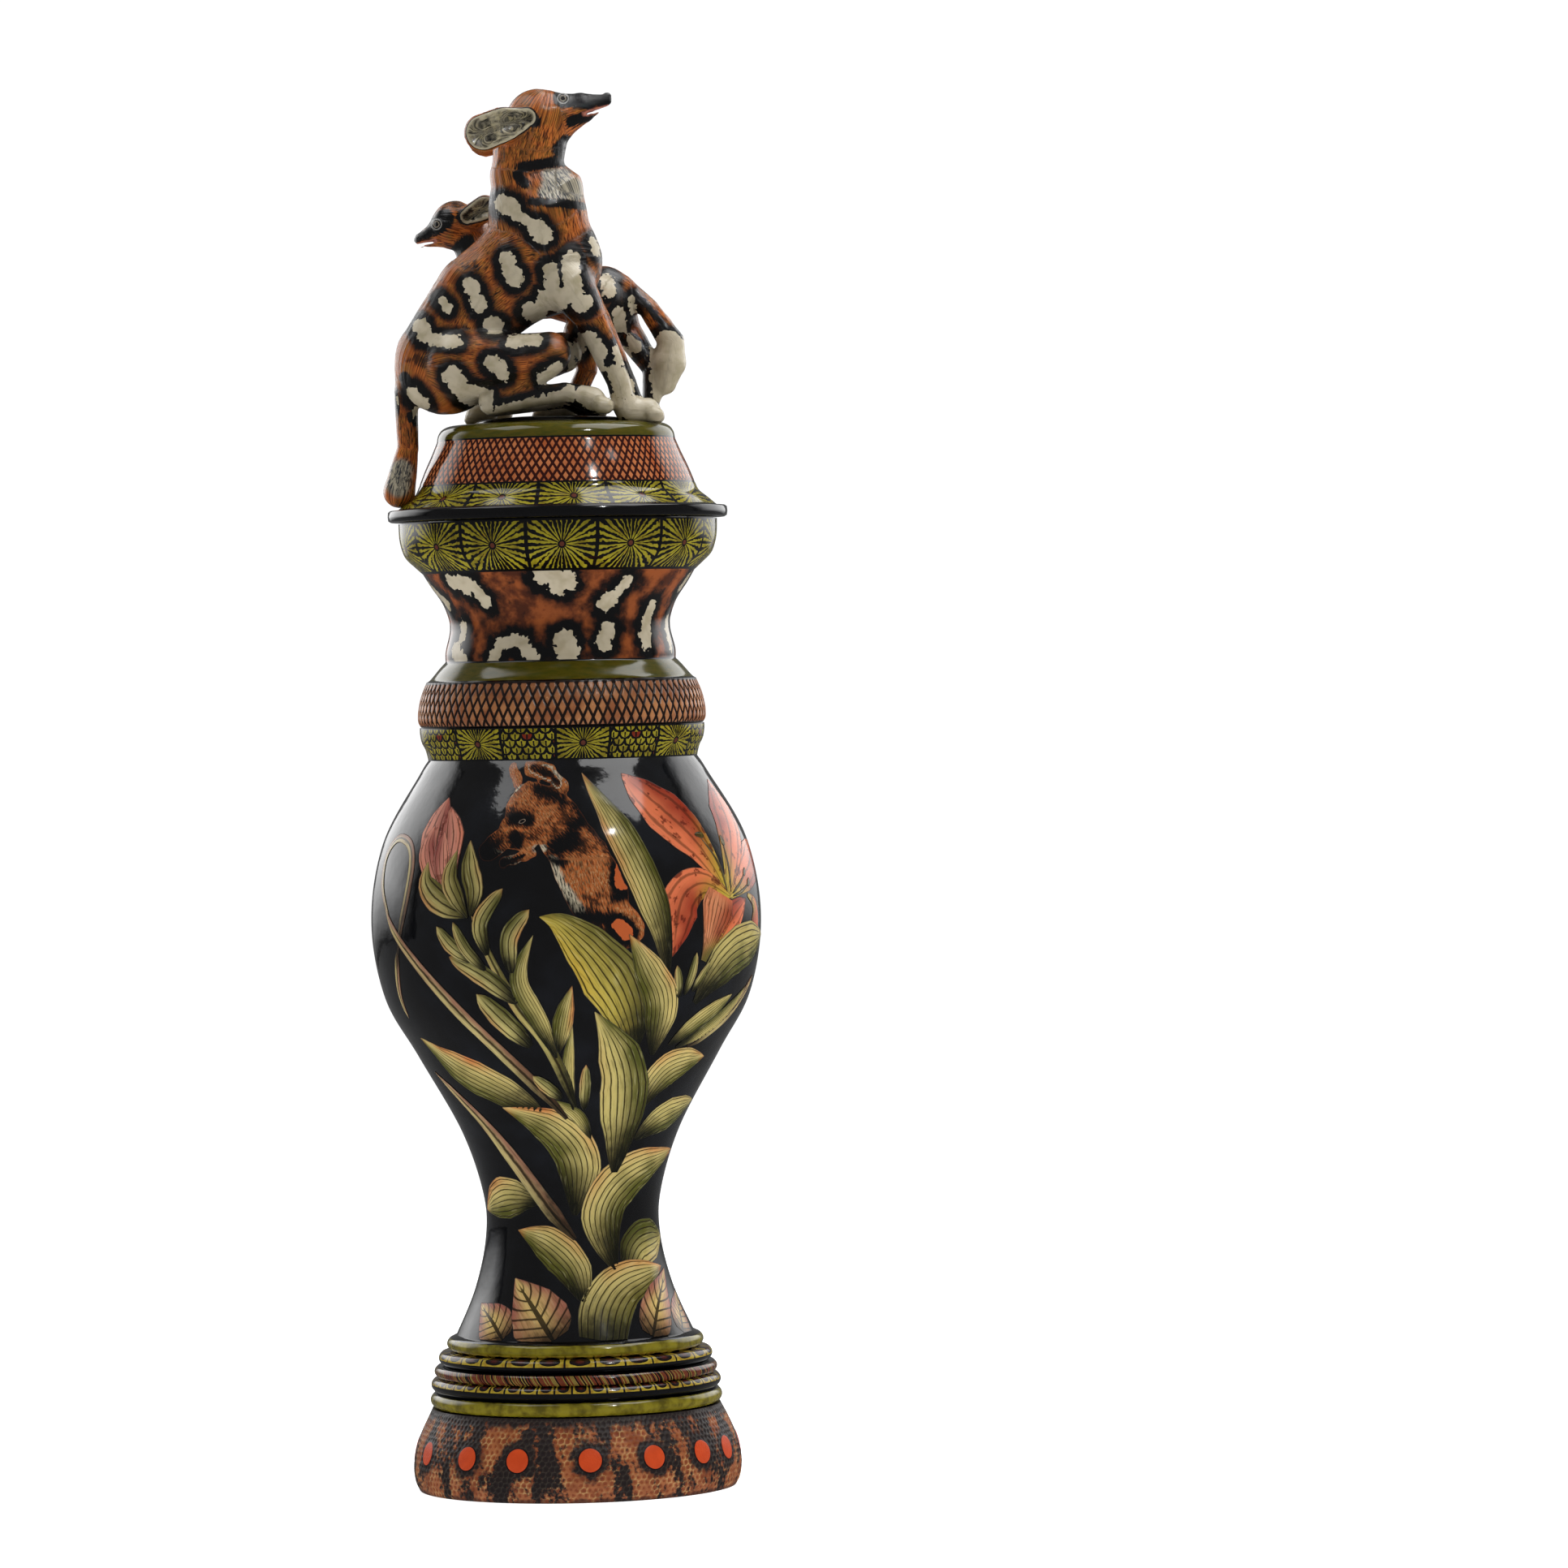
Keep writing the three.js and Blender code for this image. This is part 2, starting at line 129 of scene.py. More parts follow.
def lumps(points, size, seed=0):
    """Smooth random values from -1 to 1, with lumps of about the given size."""
    scaled = np.asarray(points, float) / size
    cell = np.floor(scaled).astype(np.int64)
    share = scaled - cell
    share = share * share * (3 - 2 * share)
    total = 0
    for corner in itertools.product((0, 1), repeat=3):
        weight = np.prod(np.where(corner, share, 1 - share), axis=-1)
        total = total + weight * random_at(cell + np.array(corner), seed)
    return total * 2 - 1


# ---------------------------------------------------------------- meshes
SHARP = math.radians(50)


def make_mesh(name, points, faces, material, layers=None):
    """A smooth mesh piece in metres that rides on the urn, with its named per-point layers."""
    mesh = bpy.data.meshes.new(name)
    mesh.from_pydata((np.asarray(points) * MM).tolist(), [], faces)
    mesh.update()
    mesh.shade_smooth()
    mesh.set_sharp_from_angle(angle=SHARP)
    for layer, values in (layers or {}).items():
        values = np.asarray(values, np.float32)
        kind, field = ("FLOAT", "value") if values.ndim == 1 else ("FLOAT_VECTOR", "vector")
        attribute = mesh.attributes.new(layer, kind, "POINT")
        attribute.data.foreach_set(field, values.ravel())
    mesh.materials.append(material)
    piece = bpy.data.objects.new(name, mesh)
    bpy.context.scene.collection.objects.link(piece)
    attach(piece, BODY)
    return piece


def ring_points(outline, segments):
    """Points of an outline turned round the axis, and the angle of each in degrees."""
    angles = np.arange(segments) * TURN / segments
    turn = np.radians(angles)
    radius, height = outline[:, 0][:, None], outline[:, 1][:, None]
    points = np.stack([radius * np.sin(turn), -radius * np.cos(turn), height + 0 * turn], -1)
    return points, np.broadcast_to(angles, points.shape[:2])


def ring_faces(outline, segments):
    """Quads between the rows of a turned outline that closes on itself, and triangles round the axis."""
    index = np.arange(len(outline) * segments).reshape(len(outline), segments)
    on_axis = outline[:, 0] < 1e-6
    index[on_axis] = index[on_axis][:, :1]
    faces = []
    for row in range(len(outline)):
        above = (row + 1) % len(outline)
        if on_axis[row] and on_axis[above]:
            continue
        corners = [index[row], np.roll(index[row], -1), np.roll(index[above], -1), index[above]]
        if on_axis[row]:
            del corners[1]
        elif on_axis[above]:
            del corners[2]
        faces.append(np.stack(corners, -1))
    return faces


def turned(name, outside, inside, segments, material, relief=None, layers=None):
    """A turned piece: outside runs up, inside runs back down, and the two close on each other.

    relief moves the outside in or out by millimetres at each (angle, radius, height), and layers gives
    the per-point values of the whole piece from the same three.
    """
    outline = np.concatenate([outside, inside])
    points, angles = ring_points(outline, segments)
    rise = points[..., 2]
    across = np.broadcast_to(outline[:, 0][:, None], rise.shape)
    if relief is not None:
        push = relief(angles, across, rise)
        push[len(outside):] = 0
        slope = np.gradient(outline, axis=0)
        slope /= np.maximum(np.hypot(*slope.T), 1e-9)[:, None]
        outward = np.stack([slope[:, 1], -slope[:, 0]], -1)
        outward[len(outside) - 1:] = 0
        outward[0] = 0
        turn = np.radians(angles)
        away, upward = outward[:, :1] * push, outward[:, 1:] * push
        points = points + np.stack([np.sin(turn) * away, -np.cos(turn) * away, upward], -1)
    faces = ring_faces(outline, segments)
    used = np.unique(np.concatenate([face.ravel() for face in faces]))
    renumber = np.zeros(points.shape[0] * segments, int)
    renumber[used] = np.arange(len(used))
    faces = [corners for face in faces for corners in renumber[face].tolist()]
    values = None
    if layers is not None:
        values = layers(angles.ravel()[used], across.ravel()[used], rise.ravel()[used])
    return make_mesh(name, points.reshape(-1, 3)[used], faces, material, values)


# ---------------------------------------------------------------- materials
def srgb(red, green, blue):
    """A colour written from 0 to 255 as it looks on a screen, as the linear colour a shader takes."""
    shares = (red / 255, green / 255, blue / 255)
    return (*(c / 12.92 if c <= 0.04045 else ((c + 0.055) / 1.055) ** 2.4 for c in shares), 1.0)


BLACK = srgb(9, 9, 11)
WARM_BLACK = srgb(26, 12, 6)
OLIVE = srgb(88, 79, 18)
LIME = srgb(162, 150, 38)
CREAM = srgb(210, 198, 172)


class Wire:
    """A number or colour carried along a material's node graph."""

    def __init__(self, paint, socket):
        self.paint = paint
        self.socket = socket

    def __add__(self, other):
        return self.paint.math("ADD", self, other)

    def __sub__(self, other):
        return self.paint.math("SUBTRACT", self, other)

    def __rsub__(self, other):
        return self.paint.math("SUBTRACT", other, self)

    def __mul__(self, other):
        return self.paint.math("MULTIPLY", self, other)

    def __truediv__(self, other):
        return self.paint.math("DIVIDE", self, other)

    def __lt__(self, other):
        return self.paint.math("LESS_THAN", self, other)

    def __gt__(self, other):
        return self.paint.math("GREATER_THAN", self, other)

    def __abs__(self):
        return self.paint.math("ABSOLUTE", self)

    __radd__ = __add__
    __rmul__ = __mul__


class Paint:
    """A material whose node graph is written as arithmetic."""

    def __init__(self, name):
        self.material = bpy.data.materials.new(name)
        self.material.use_nodes = True
        self.tree = self.material.node_tree
        self.tree.nodes.clear()
        self.position = Wire(self, self.node("TexCoord").outputs["Object"])
        split = self.node("SeparateXYZ")
        self.feed(split.inputs[0], self.position)
        x, y, z = (Wire(self, socket) for socket in split.outputs)
        self.rise = z / MM
        self.radius = self.math("SQRT", x * x + y * y) / MM
        self.angle = self.math("ARCTAN2", x, y * -1) * (180 / math.pi)

    def node(self, kind, **settings):
        node = self.tree.nodes.new("ShaderNode" + kind)
        for key, value in settings.items():
            setattr(node, key, value)
        return node

    def feed(self, socket, value):
        if isinstance(value, Wire):
            self.tree.links.new(value.socket, socket)
        else:
            socket.default_value = value

    def math(self, operation, *values):
        node = self.node("Math", operation=operation)
        for socket, value in zip(node.inputs, values):
            self.feed(socket, value)
        return Wire(self, node.outputs[0])

    def smooth(self, value, low, high):
        """0 below low, 1 above high, and a soft step between; low may be the larger."""
        node = self.node("MapRange", interpolation_type="SMOOTHSTEP")
        for socket, number in zip(node.inputs, (value, low, high)):
            self.feed(socket, number)
        return Wire(self, node.outputs[0])

    def both(self, *masks):
        total = masks[0]
        for mask in masks[1:]:
            total = total * mask
        return total

    def most(self, *values):
        total = values[0]
        for value in values[1:]:
            total = self.math("MAXIMUM", total, value)
        return total

    def least(self, *values):
        total = values[0]
        for value in values[1:]:
            total = self.math("MINIMUM", total, value)
        return total

    def between(self, value, low, high):
        return self.both(value > low, value < high)

    def triangle(self, value):
        """Distance from the middle of each whole step: 0 at the middle, 0.5 at its ends."""
        return abs(self.math("FRACT", value) - 0.5)

    def vector(self, x, y, z):
        node = self.node("CombineXYZ")
        for socket, value in zip(node.inputs, (x, y, z)):
            self.feed(socket, value)
        return Wire(self, node.outputs[0])

    def layer(self, name, output="Fac"):
        return Wire(self, self.node("Attribute", attribute_name=name).outputs[output])

    def noise(self, size, detail=2.0, at=None, roughness=0.55):
        """Cloudy random values about 0.5, with lumps of about the given size in millimetres."""
        node = self.node("TexNoise")
        self.feed(node.inputs["Vector"], self.position if at is None else at)
        node.inputs["Scale"].default_value = (1 / (size * MM)) if at is None else 1 / size
        node.inputs["Detail"].default_value = detail
        node.inputs["Roughness"].default_value = roughness
        return Wire(self, node.outputs["Fac"])

    def scatter(self, cell):
        """One random number from 0 to 1 for each whole number."""
        node = self.node("TexWhiteNoise", noise_dimensions="1D")
        self.feed(node.inputs["W"], cell)
        return Wire(self, node.outputs["Value"])

    def mix(self, under, over, share):
        node = self.node("Mix", data_type="RGBA")
        self.feed(node.inputs["Factor"], share)
        self.feed(node.inputs[6], under)
        self.feed(node.inputs[7], over)
        return Wire(self, node.outputs[2])

    def finish(self, colour, roughness=0.12, bump=None, depth=0.2, coat=0.0, specular=0.4):
        """Closes the graph with its shader; bump heights of 1 stand depth millimetres proud."""
        shader = self.node("BsdfPrincipled")
        self.feed(shader.inputs["Base Color"], colour)
        self.feed(shader.inputs["Roughness"], roughness)
        shader.inputs["Specular IOR Level"].default_value = specular
        shader.inputs["Coat Weight"].default_value = coat
        shader.inputs["Coat Roughness"].default_value = 0.04
        if bump is not None:
            node = self.node("Bump")
            node.inputs["Distance"].default_value = depth * MM
            self.feed(node.inputs["Height"], bump)
            self.tree.links.new(node.outputs["Normal"], shader.inputs["Normal"])
            self.tree.links.new(node.outputs["Normal"], shader.inputs["Coat Normal"])
        out = self.node("OutputMaterial")
        self.tree.links.new(shader.outputs["BSDF"], out.inputs["Surface"])
        return self.material


# ---------------------------------------------------------------- painted bands
ROSETTE_STROKES = 15


def lime_ground(p):
    """The yellow-green of the tiles, uneven as a hand-laid glaze is."""
    colour = p.mix(LIME, srgb(124, 110, 24), p.smooth(p.noise(9, 3), 0.42, 0.68))
    return p.mix(colour, srgb(182, 128, 40), p.smooth(p.noise(5, 2), 0.64, 0.78) * 0.6)


def rosette(p, across, up, half_width, half_height):
    """A tile with black strokes that run in from its edges to a brown centre."""
    spread = p.math("ARCTAN2", up, across)
    distance = p.math("SQRT", across * across + up * up)
    edge = p.most(abs(across) / half_width, abs(up) / half_height)
    wobble = p.noise(2.6, 1) - 0.5
    turn = spread * (ROSETTE_STROKES / (2 * math.pi)) + wobble * 0.35
    arc = distance * (2 * math.pi / ROSETTE_STROKES)
    weight = half_height / 17
    long_stroke = p.triangle(turn) * arc < (edge * 1.2 + 0.22 + wobble * 0.7) * weight
    short_stroke = p.triangle(turn + 0.5) * arc < (edge - 0.28 + wobble * 0.4) * (1.9 * weight)
    border = p.most(abs(across) > half_width - 1.3, abs(up) > half_height - 1.0)
    dark = p.most(long_stroke, short_stroke, border, distance < 2.7)
    colour = p.mix(lime_ground(p), BLACK, dark)
    return p.mix(colour, srgb(96, 48, 34), distance < 1.6)


def scales(p, across, up, size):
    """Overlapping scales in rows, each with a black edge and a short black stroke; some are red."""
    row = p.math("FLOOR", up / (size * 0.56))
    shift = abs(p.math("MODULO", row, 2.0)) * 0.5
    column = p.math("FLOOR", across / size + shift)
    x = (p.math("FRACT", across / size + shift) - 0.5) * 2
    y = 1.0 - p.math("FRACT", up / (size * 0.56))
    wobble = (p.noise(2.5, 1) - 0.5) * 0.2
    reach = p.math("SQRT", x * x + y * y) + wobble
    outline = abs(reach - 0.98) < 0.2
    stroke = p.both(abs(x + wobble) < 0.13, reach < 0.75)
    red = p.scatter(row * 57.0 + column) > 0.76
    colour = p.mix(lime_ground(p), srgb(122, 40, 18), p.both(red, reach < 1.0))
    return p.mix(colour, BLACK, p.most(outline, stroke))


def lattice(p, pitch_degrees, height, line):
    """1 on two crossing families of slanted lines, each line wide as a share of the pitch."""
    left = p.triangle(p.angle / pitch_degrees + p.rise / height)
    right = p.triangle(p.angle / pitch_degrees - p.rise / height)
    return p.least(left, right) < line


def ring_tiles(p, pitch, phase, radius):
    """Which tile of a ring a point is in, and how far across that tile it is in millimetres."""
    cell = (p.angle - phase) / pitch + 0.5
    across = (p.math("FRACT", cell) - 0.5) * (math.radians(pitch) * radius)
    return p.math("FLOOR", cell), across


def olive_glaze(p):
    streaks = p.noise(14, 4, p.vector(p.angle * 2.0, p.rise * 6.0, 0.0))
    return p.mix(OLIVE, srgb(70, 70, 16), p.smooth(streaks, 0.35, 0.7))


def glaze_bump(p):
    """The slow unevenness of a thick glaze."""
    return p.noise(28, 2) * 0.7 + p.noise(7, 2) * 0.06


def black_glaze(name):
    p = Paint(name)
    colour = p.mix(BLACK, srgb(20, 22, 27), p.smooth(p.noise(40, 3), 0.4, 0.75))
    roughness = 0.08 + p.smooth(p.noise(3, 3), 0.62, 0.8) * 0.14
    return p.finish(colour, roughness, glaze_bump(p) + p.noise(4, 2) * 0.12, 0.5, specular=0.5)


def foot_material():
    """Dimpled orange-brown ground, sooty smudges, a painted shadow along its top, and flat orange-red discs
    ringed in black.
    """
    p = Paint("foot_finish")
    pit, disc = p.layer("pit"), p.layer("disc")
    ground = p.mix(srgb(166, 100, 60), srgb(128, 66, 34), p.smooth(p.noise(12, 3), 0.35, 0.7))
    web = p.mix(ground, srgb(184, 142, 90), p.smooth(pit, 0.35, 0.05) * p.smooth(p.noise(9, 2), 0.42, 0.62))
    colour = p.mix(web, srgb(124, 54, 26), p.smooth(pit, 0.5, 0.95) * 0.7)
    rough_edge = (p.noise(6, 4) - 0.5) * 15
    halo = p.smooth(disc + rough_edge, 7.5, 3.5)
    smudge_at = p.vector(p.angle / 11.0, p.rise / 60.0, 0.0)
    smudge = p.smooth(p.noise(1.0, 3, smudge_at) + (p.noise(3, 3) - 0.5) * 0.4, 0.48, 0.56)
    # Painted shadow: a dark band along the top of the foot, just under the overhanging beads.
    top = p.smooth(p.rise + (p.noise(6, 3) - 0.5) * 15, 46, 52)
    # Darker towards the bottom edge.
    bottom = p.smooth(p.rise + (p.noise(9, 3) - 0.5) * 9, 3.0, 0.5) * 0.7
    # soot gathers the black halos and smudges, the painted shadow along the top and the darker bottom edge.
    soot = p.most(halo, smudge, top, bottom)
    colour = p.mix(colour, srgb(28, 27, 29), soot * 0.97)
    colour = p.mix(colour, srgb(90, 84, 74), p.both(soot, p.smooth(pit, 0.3, 0.0)) * 0.28)
    colour = p.mix(colour, BLACK, disc < 0.9)
    colour = p.mix(colour, p.mix(srgb(212, 78, 32), srgb(186, 62, 24), p.noise(8)), disc < 0.0)
    return p.finish(colour, p.smooth(soot, 0, 1) * -0.08 + 0.45, p.noise(1.2, 3), 0.25, specular=0.22)


def bead_material():
    """Rings of beading: olive, ovals in cells, fine slanted hatching, ovals in cells, olive."""
    p = Paint("bead_finish")
    (low, low_top), (small, small_top), (hatch, hatch_top), (large, large_top), (high, high_top) = (
        bead[:2] for bead in BEADS)
    wobble = p.noise(6, 2) - 0.5
    olive = p.mix(srgb(132, 121, 30), srgb(84, 76, 16), p.smooth(p.noise(9, 3), 0.35, 0.7))
    colour = p.mix(BLACK, olive, p.between(p.rise + wobble * 0.8, low + 0.6, low_top - 1.0))
    colour = p.mix(colour, olive, p.between(p.rise + wobble * 0.8, high + 0.9, high_top - 0.9))
    rows = ((small, small_top, TURN / 52, 98, 0.85), (large, large_top, TURN / 28, 92, 0.7))
    for start, stop, pitch, radius, fill in rows:
        cell, across = ring_tiles(p, pitch, 3.4, radius)
        up = p.rise - (start * (1 - fill) + stop * (1 + fill)) / 2
        half_height = (stop - start) * 0.36
        half_width = math.radians(pitch) * radius / 2
        tile = p.both(abs(up) < half_height, abs(across) < half_width - 0.7)
        oval_x, oval_y = across / (half_width * 0.6), up / (half_height * 0.66)
        oval = p.math("SQRT", oval_x * oval_x + oval_y * oval_y) + wobble * 0.3
        yellow = p.mix(srgb(172, 150, 48), srgb(140, 106, 34), p.smooth(p.noise(5, 2), 0.4, 0.7))
        inner = p.mix(srgb(78, 26, 18), srgb(24, 12, 12), p.smooth(oval, 0.1, 0.7))
        painted = p.mix(p.mix(yellow, BLACK, oval < 1.15), inner, oval < 0.92)
        colour = p.mix(colour, painted, tile)
    turn = p.angle / 0.62 + p.rise / 1.7 + wobble * 0.8
    tone = p.scatter(p.math("FLOOR", turn))
    strand = p.mix(srgb(126, 60, 36), srgb(150, 126, 60), p.between(tone, 0.3, 0.62))
    strand = p.mix(strand, WARM_BLACK, p.most(tone > 0.7, p.triangle(turn) > 0.3))
    colour = p.mix(colour, strand, p.between(p.rise, hatch + 0.7, hatch_top - 0.8))
    return p.finish(colour, 0.12, glaze_bump(p), 0.3)


def band_material():
    """Tiles round the top of the body, a rosette and a square of scales in turn."""
    p = Paint("band_finish")
    tile, across = ring_tiles(p, 22.5, 10.0, 95)
    half_height = (BAND[-1][1] - BAND[0][1]) / 2
    up = p.rise - (BAND[0][1] + half_height)
    half_width = math.radians(22.5) * 95 / 2
    star = rosette(p, across, up, half_width, half_height)
    fish = scales(p, across, up + 40.0, 8.3)
    odd = abs(p.math("MODULO", tile, 2.0)) > 0.5
    colour = p.mix(star, fish, odd)
    border = p.most(abs(across) > half_width - 0.75, abs(up) > half_height - 0.9)
    colour = p.mix(colour, BLACK, border)
    return p.finish(colour, 0.13, glaze_bump(p), 0.35)


LATTICE_PITCH = TURN / 90
LATTICE_HEIGHT = 14.5


def ring_material():
    """Incised crosshatching: black lines with tan lozenges standing between them."""
    p = Paint("ring_finish")
    line = lattice(p, LATTICE_PITCH, LATTICE_HEIGHT, 0.15)
    clay = p.mix(srgb(186, 126, 80), srgb(146, 86, 52), p.smooth(p.noise(16, 3), 0.35, 0.7))
    shade = p.smooth(p.rise, RING[0][1] + 10, RING[-1][1]) * 0.6
    clay = p.mix(clay, srgb(122, 74, 44), shade)
    clay = p.mix(clay, srgb(212, 160, 112), p.smooth(p.noise(2.2, 2), 0.62, 0.75) * 0.5)
    edge = p.most(p.rise < RING[0][1] + 0.9, p.rise > RING[-1][1] - 1.2)
    colour = p.mix(clay, WARM_BLACK, p.most(line, edge))
    return p.finish(colour, 0.3, p.noise(1.5, 2), 0.12)


def throat_material():
    """Olive cone, a neck of brown cloud with cream patches haloed in black, and a lip of rosettes."""
    p = Paint("throat_finish")
    patch = p.layer("patch") + (p.noise(3.4, 2) - 0.5) * 9
    cloud = p.mix(srgb(160, 84, 40), srgb(82, 40, 22), p.smooth(p.noise(13, 4), 0.4, 0.64))
    cloud = p.mix(cloud, srgb(44, 26, 18), p.smooth(p.noise(5, 4), 0.56, 0.74) * 0.8)
    halo = p.smooth(p.layer("patch") + (p.noise(9, 4) - 0.5) * 18, 14.0, 4.0)
    spotted = p.mix(cloud, BLACK, halo)
    cream = p.mix(CREAM, srgb(186, 172, 142), p.smooth(p.noise(12), 0.4, 0.7))
    spotted = p.mix(spotted, cream, patch < 0.0)
    _, across = ring_tiles(p, TURN / 14, 3.0, 105)
    half_height = (LIP_TOP - LIP[0][1]) / 2
    star = rosette(p, across, p.rise - (LIP[0][1] + half_height), math.pi * 105 / 14, half_height)
    colour = p.mix(olive_glaze(p), spotted, p.rise > CONE[-1][1])
    colour = p.mix(colour, star, p.rise > LIP[0][1])
    seams = (CONE[0][1] + 0.4, CONE[-1][1], LIP[0][1])
    lines = p.most(*(p.between(p.rise, at - 0.6, at + 0.6) for at in seams))
    inside = p.radius < 60
    colour = p.mix(colour, BLACK, p.most(lines, inside))
    return p.finish(colour, 0.12, glaze_bump(p), 0.35)


def lid_material():
    """Black rim, flattened rosettes, dark red crosshatching on orange, olive shoulder and a black top."""
    p = Paint("lid_finish")
    _, across = ring_tiles(p, TURN / 13, 8.0, 97)
    low, high = ROSETTE_SKIRT[0][1], HATCH_SKIRT[0][1]
    up = (p.rise - (low * 0.62 + high * 0.38)) * 1.3
    star = rosette(p, across, up, math.pi * 97 / 13, (high - low) * 0.9)
    orange = p.mix(srgb(204, 124, 76), srgb(176, 92, 50), p.smooth(p.noise(12, 3), 0.35, 0.7))
    hatch = p.mix(orange, srgb(52, 16, 10), lattice(p, 3.6, 8.7, 0.185))
    colour = p.mix(BLACK, star, p.rise > low)
    colour = p.mix(colour, hatch, p.rise > high)
    colour = p.mix(colour, olive_glaze(p), p.rise > SHOULDER[0][1])
    colour = p.mix(colour, BLACK, p.rise > SHOULDER[-1][1] + 0.2)
    lines = p.most(*(p.between(p.rise, at - 0.6, at + 0.6) for at in (low, high, SHOULDER[0][1])))
    colour = p.mix(colour, BLACK, lines)
    return p.finish(colour, 0.1, glaze_bump(p), 0.35)


# ---------------------------------------------------------------- turned pieces
FLOOR = 13
INNER = [(92.4, FLOOR), (74.8, 76), (55.9, 142), (49.4, 185), (60.9, 235), (94, 298), (118.4, 348),
         (120.6, 411), (94.6, 471.5), (82, 494), (82, 516)]


def inner_wall(low, high, step=12):
    """The inside of the body from high down to low."""
    radii, heights = np.array(INNER).T
    rise = np.linspace(high, low, max(2, int((high - low) / step) + 1))
    return np.stack([np.interp(rise, heights, radii), rise], -1)


# The foot's flat discs, and the pitch of the dimples between them.
DISC_RADIUS = 7.7
DISC_HEIGHT = 28.5
DISC_ANGLES = [-66, -41, -20, 6, 29.5, 51.5, 68.5, 91, 114, 136, 159, 182, 205, 227, 250, 272]
DIMPLE = 4.1
DIMPLE_DEPTH = 0.55


def disc_distance(angle, height, radius):
    """Distance outside the nearest disc of the foot, in millimetres."""
    nearest = np.full(np.shape(angle), 1e3)
    for centre in DISC_ANGLES:
        turn = (angle - centre + TURN / 2) % TURN - TURN / 2
        nearest = np.minimum(nearest, np.hypot(np.radians(turn) * radius, height - DISC_HEIGHT))
    return nearest - DISC_RADIUS


def dimples(angle, height):
    """1 at the middle of each dimple of an uneven honeycomb, falling to 0 on the walls between them."""
    around = int(round(2 * math.pi * 108 / DIMPLE))
    row_height = DIMPLE * math.sqrt(3) / 2
    x, y = angle / TURN * around, height / row_height
    base_row = np.floor(y)
    nearest = np.full(np.shape(angle), 9.0)
    second = nearest.copy()
    for row_step, column_step in itertools.product((-1, 0, 1), (-1, 0, 1)):
        row = base_row + row_step
        shift = (row % 2) * 0.5
        column = np.floor(x - shift) + column_step
        cell = np.stack([column % around, row, 0 * row], -1).astype(np.int64)
        centre_x = column + 0.5 + shift + (random_at(cell, 3) - 0.5) * 0.4
        centre_y = row + 0.5 + (random_at(cell, 4) - 0.5) * 0.4
        gap = np.hypot((x - centre_x), (y - centre_y) * row_height / DIMPLE)
        second = np.minimum(second, np.maximum(nearest, gap))
        nearest = np.minimum(nearest, gap)
    return smoothstep(second - nearest, 0.05, 0.6)


def foot_relief(angle, radius, height):
    disc = disc_distance(angle, height, radius)
    pits = dimples(angle, height) * smoothstep(disc, 0.6, 1.8)
    edges = smoothstep(height, 1, 4) * smoothstep(height, 55.5, 53.5)
    plate = smoothstep(disc, 0.5, -0.6) * 0.25
    waves = lumps(np.stack([angle * 2, height, radius], -1), 14, 5) * 0.3
    return (plate - pits * DIMPLE_DEPTH + waves) * edges


def foot_layers(angle, radius, height):
    return {"pit": dimples(angle, height), "disc": disc_distance(angle, height, radius)}


BEAD_BULGE = 0.42


def bead_outline():
    """Half-round beads, one above the other, with pinched grooves between them."""
    line = []
    for low, high, crest in BEADS:
        bulge = (high - low) * BEAD_BULGE
        for share in np.linspace(0, 1, 13)[:-1]:
            out = math.sin(math.pi * share) ** 0.62
            line.append((crest - bulge + bulge * out, low + (high - low) * share))
    low, high, crest = BEADS[-1]
    return np.array(line + [(crest - (high - low) * BEAD_BULGE, high), BELLY[0]])


GROOVE_DEPTH = 0.75


def ring_relief(angle, radius, height):
    """Grooves cut along the lines of the crosshatching."""
    cuts = 1.0
    for slant in (1, -1):
        step = angle / LATTICE_PITCH + slant * height / LATTICE_HEIGHT
        cuts = np.minimum(cuts, np.abs(step % 1 - 0.5))
    low, high = RING[0][1], RING[-1][1]
    edges = smoothstep(height, low + 0.5, low + 2) * smoothstep(height, high - 0.5, high - 2)
    return -GROOVE_DEPTH * smoothstep(cuts, 0.19, 0.07) * edges


# The neck's cream patches are strips (angle, height, angle, height, radius).
PATCHES = [(-82, 611, -72, 600, 5), (-53, 614, -42, 613, 4.5), (-41, 612, -37, 601, 5),
           (-47, 609, -45, 608, 3.5), (-5, 617, 6, 613, 6.5), (0, 610, 2, 608, 4.5),
           (33, 612, 31, 608, 4), (27, 600, 25, 598, 6), (-59, 584, -59, 577, 4),
           (-64, 568, -57, 561, 6), (-34, 561, -30, 571, 4), (-30, 572, -22, 574.5, 4),
           (-18, 572, -12, 562, 4.5), (4, 573, 5, 566, 7.5), (27, 580, 24, 571, 5.6),
           (55, 594, 50, 571, 5.2), (80, 614, 79, 608, 4), (77, 585, 75, 568, 4)]
BACK_PATCHES = [(100 + 24 * n, 616 - 3 * (n % 3), 106 + 24 * n, 608 + 2 * (n % 2), 5 + n % 3)
                for n in range(7)]
BACK_PATCHES += [(92 + 25 * n, 584 - 4 * (n % 2), 97 + 25 * n, 566 + 2 * (n % 3), 5 + (n + 1) % 3)
                 for n in range(7)]


def patch_distance(angle, radius, height):
    """Distance outside the nearest cream patch of the neck, in millimetres."""
    nearest = np.full(np.shape(angle), 1e3)
    for a_from, z_from, a_to, z_to, size in PATCHES + BACK_PATCHES:
        turn = np.radians((angle - a_from + TURN / 2) % TURN - TURN / 2) * radius
        run, climb = math.radians(a_to - a_from) * 80, z_to - z_from
        share = np.clip((turn * run + (height - z_from) * climb) / (run * run + climb * climb), 0, 1)
        nearest = np.minimum(nearest, np.hypot(turn - share * run, height - z_from - share * climb) - size)
    return nearest


def throat_layers(angle, radius, height):
    return {"patch": patch_distance(angle, radius, height)}


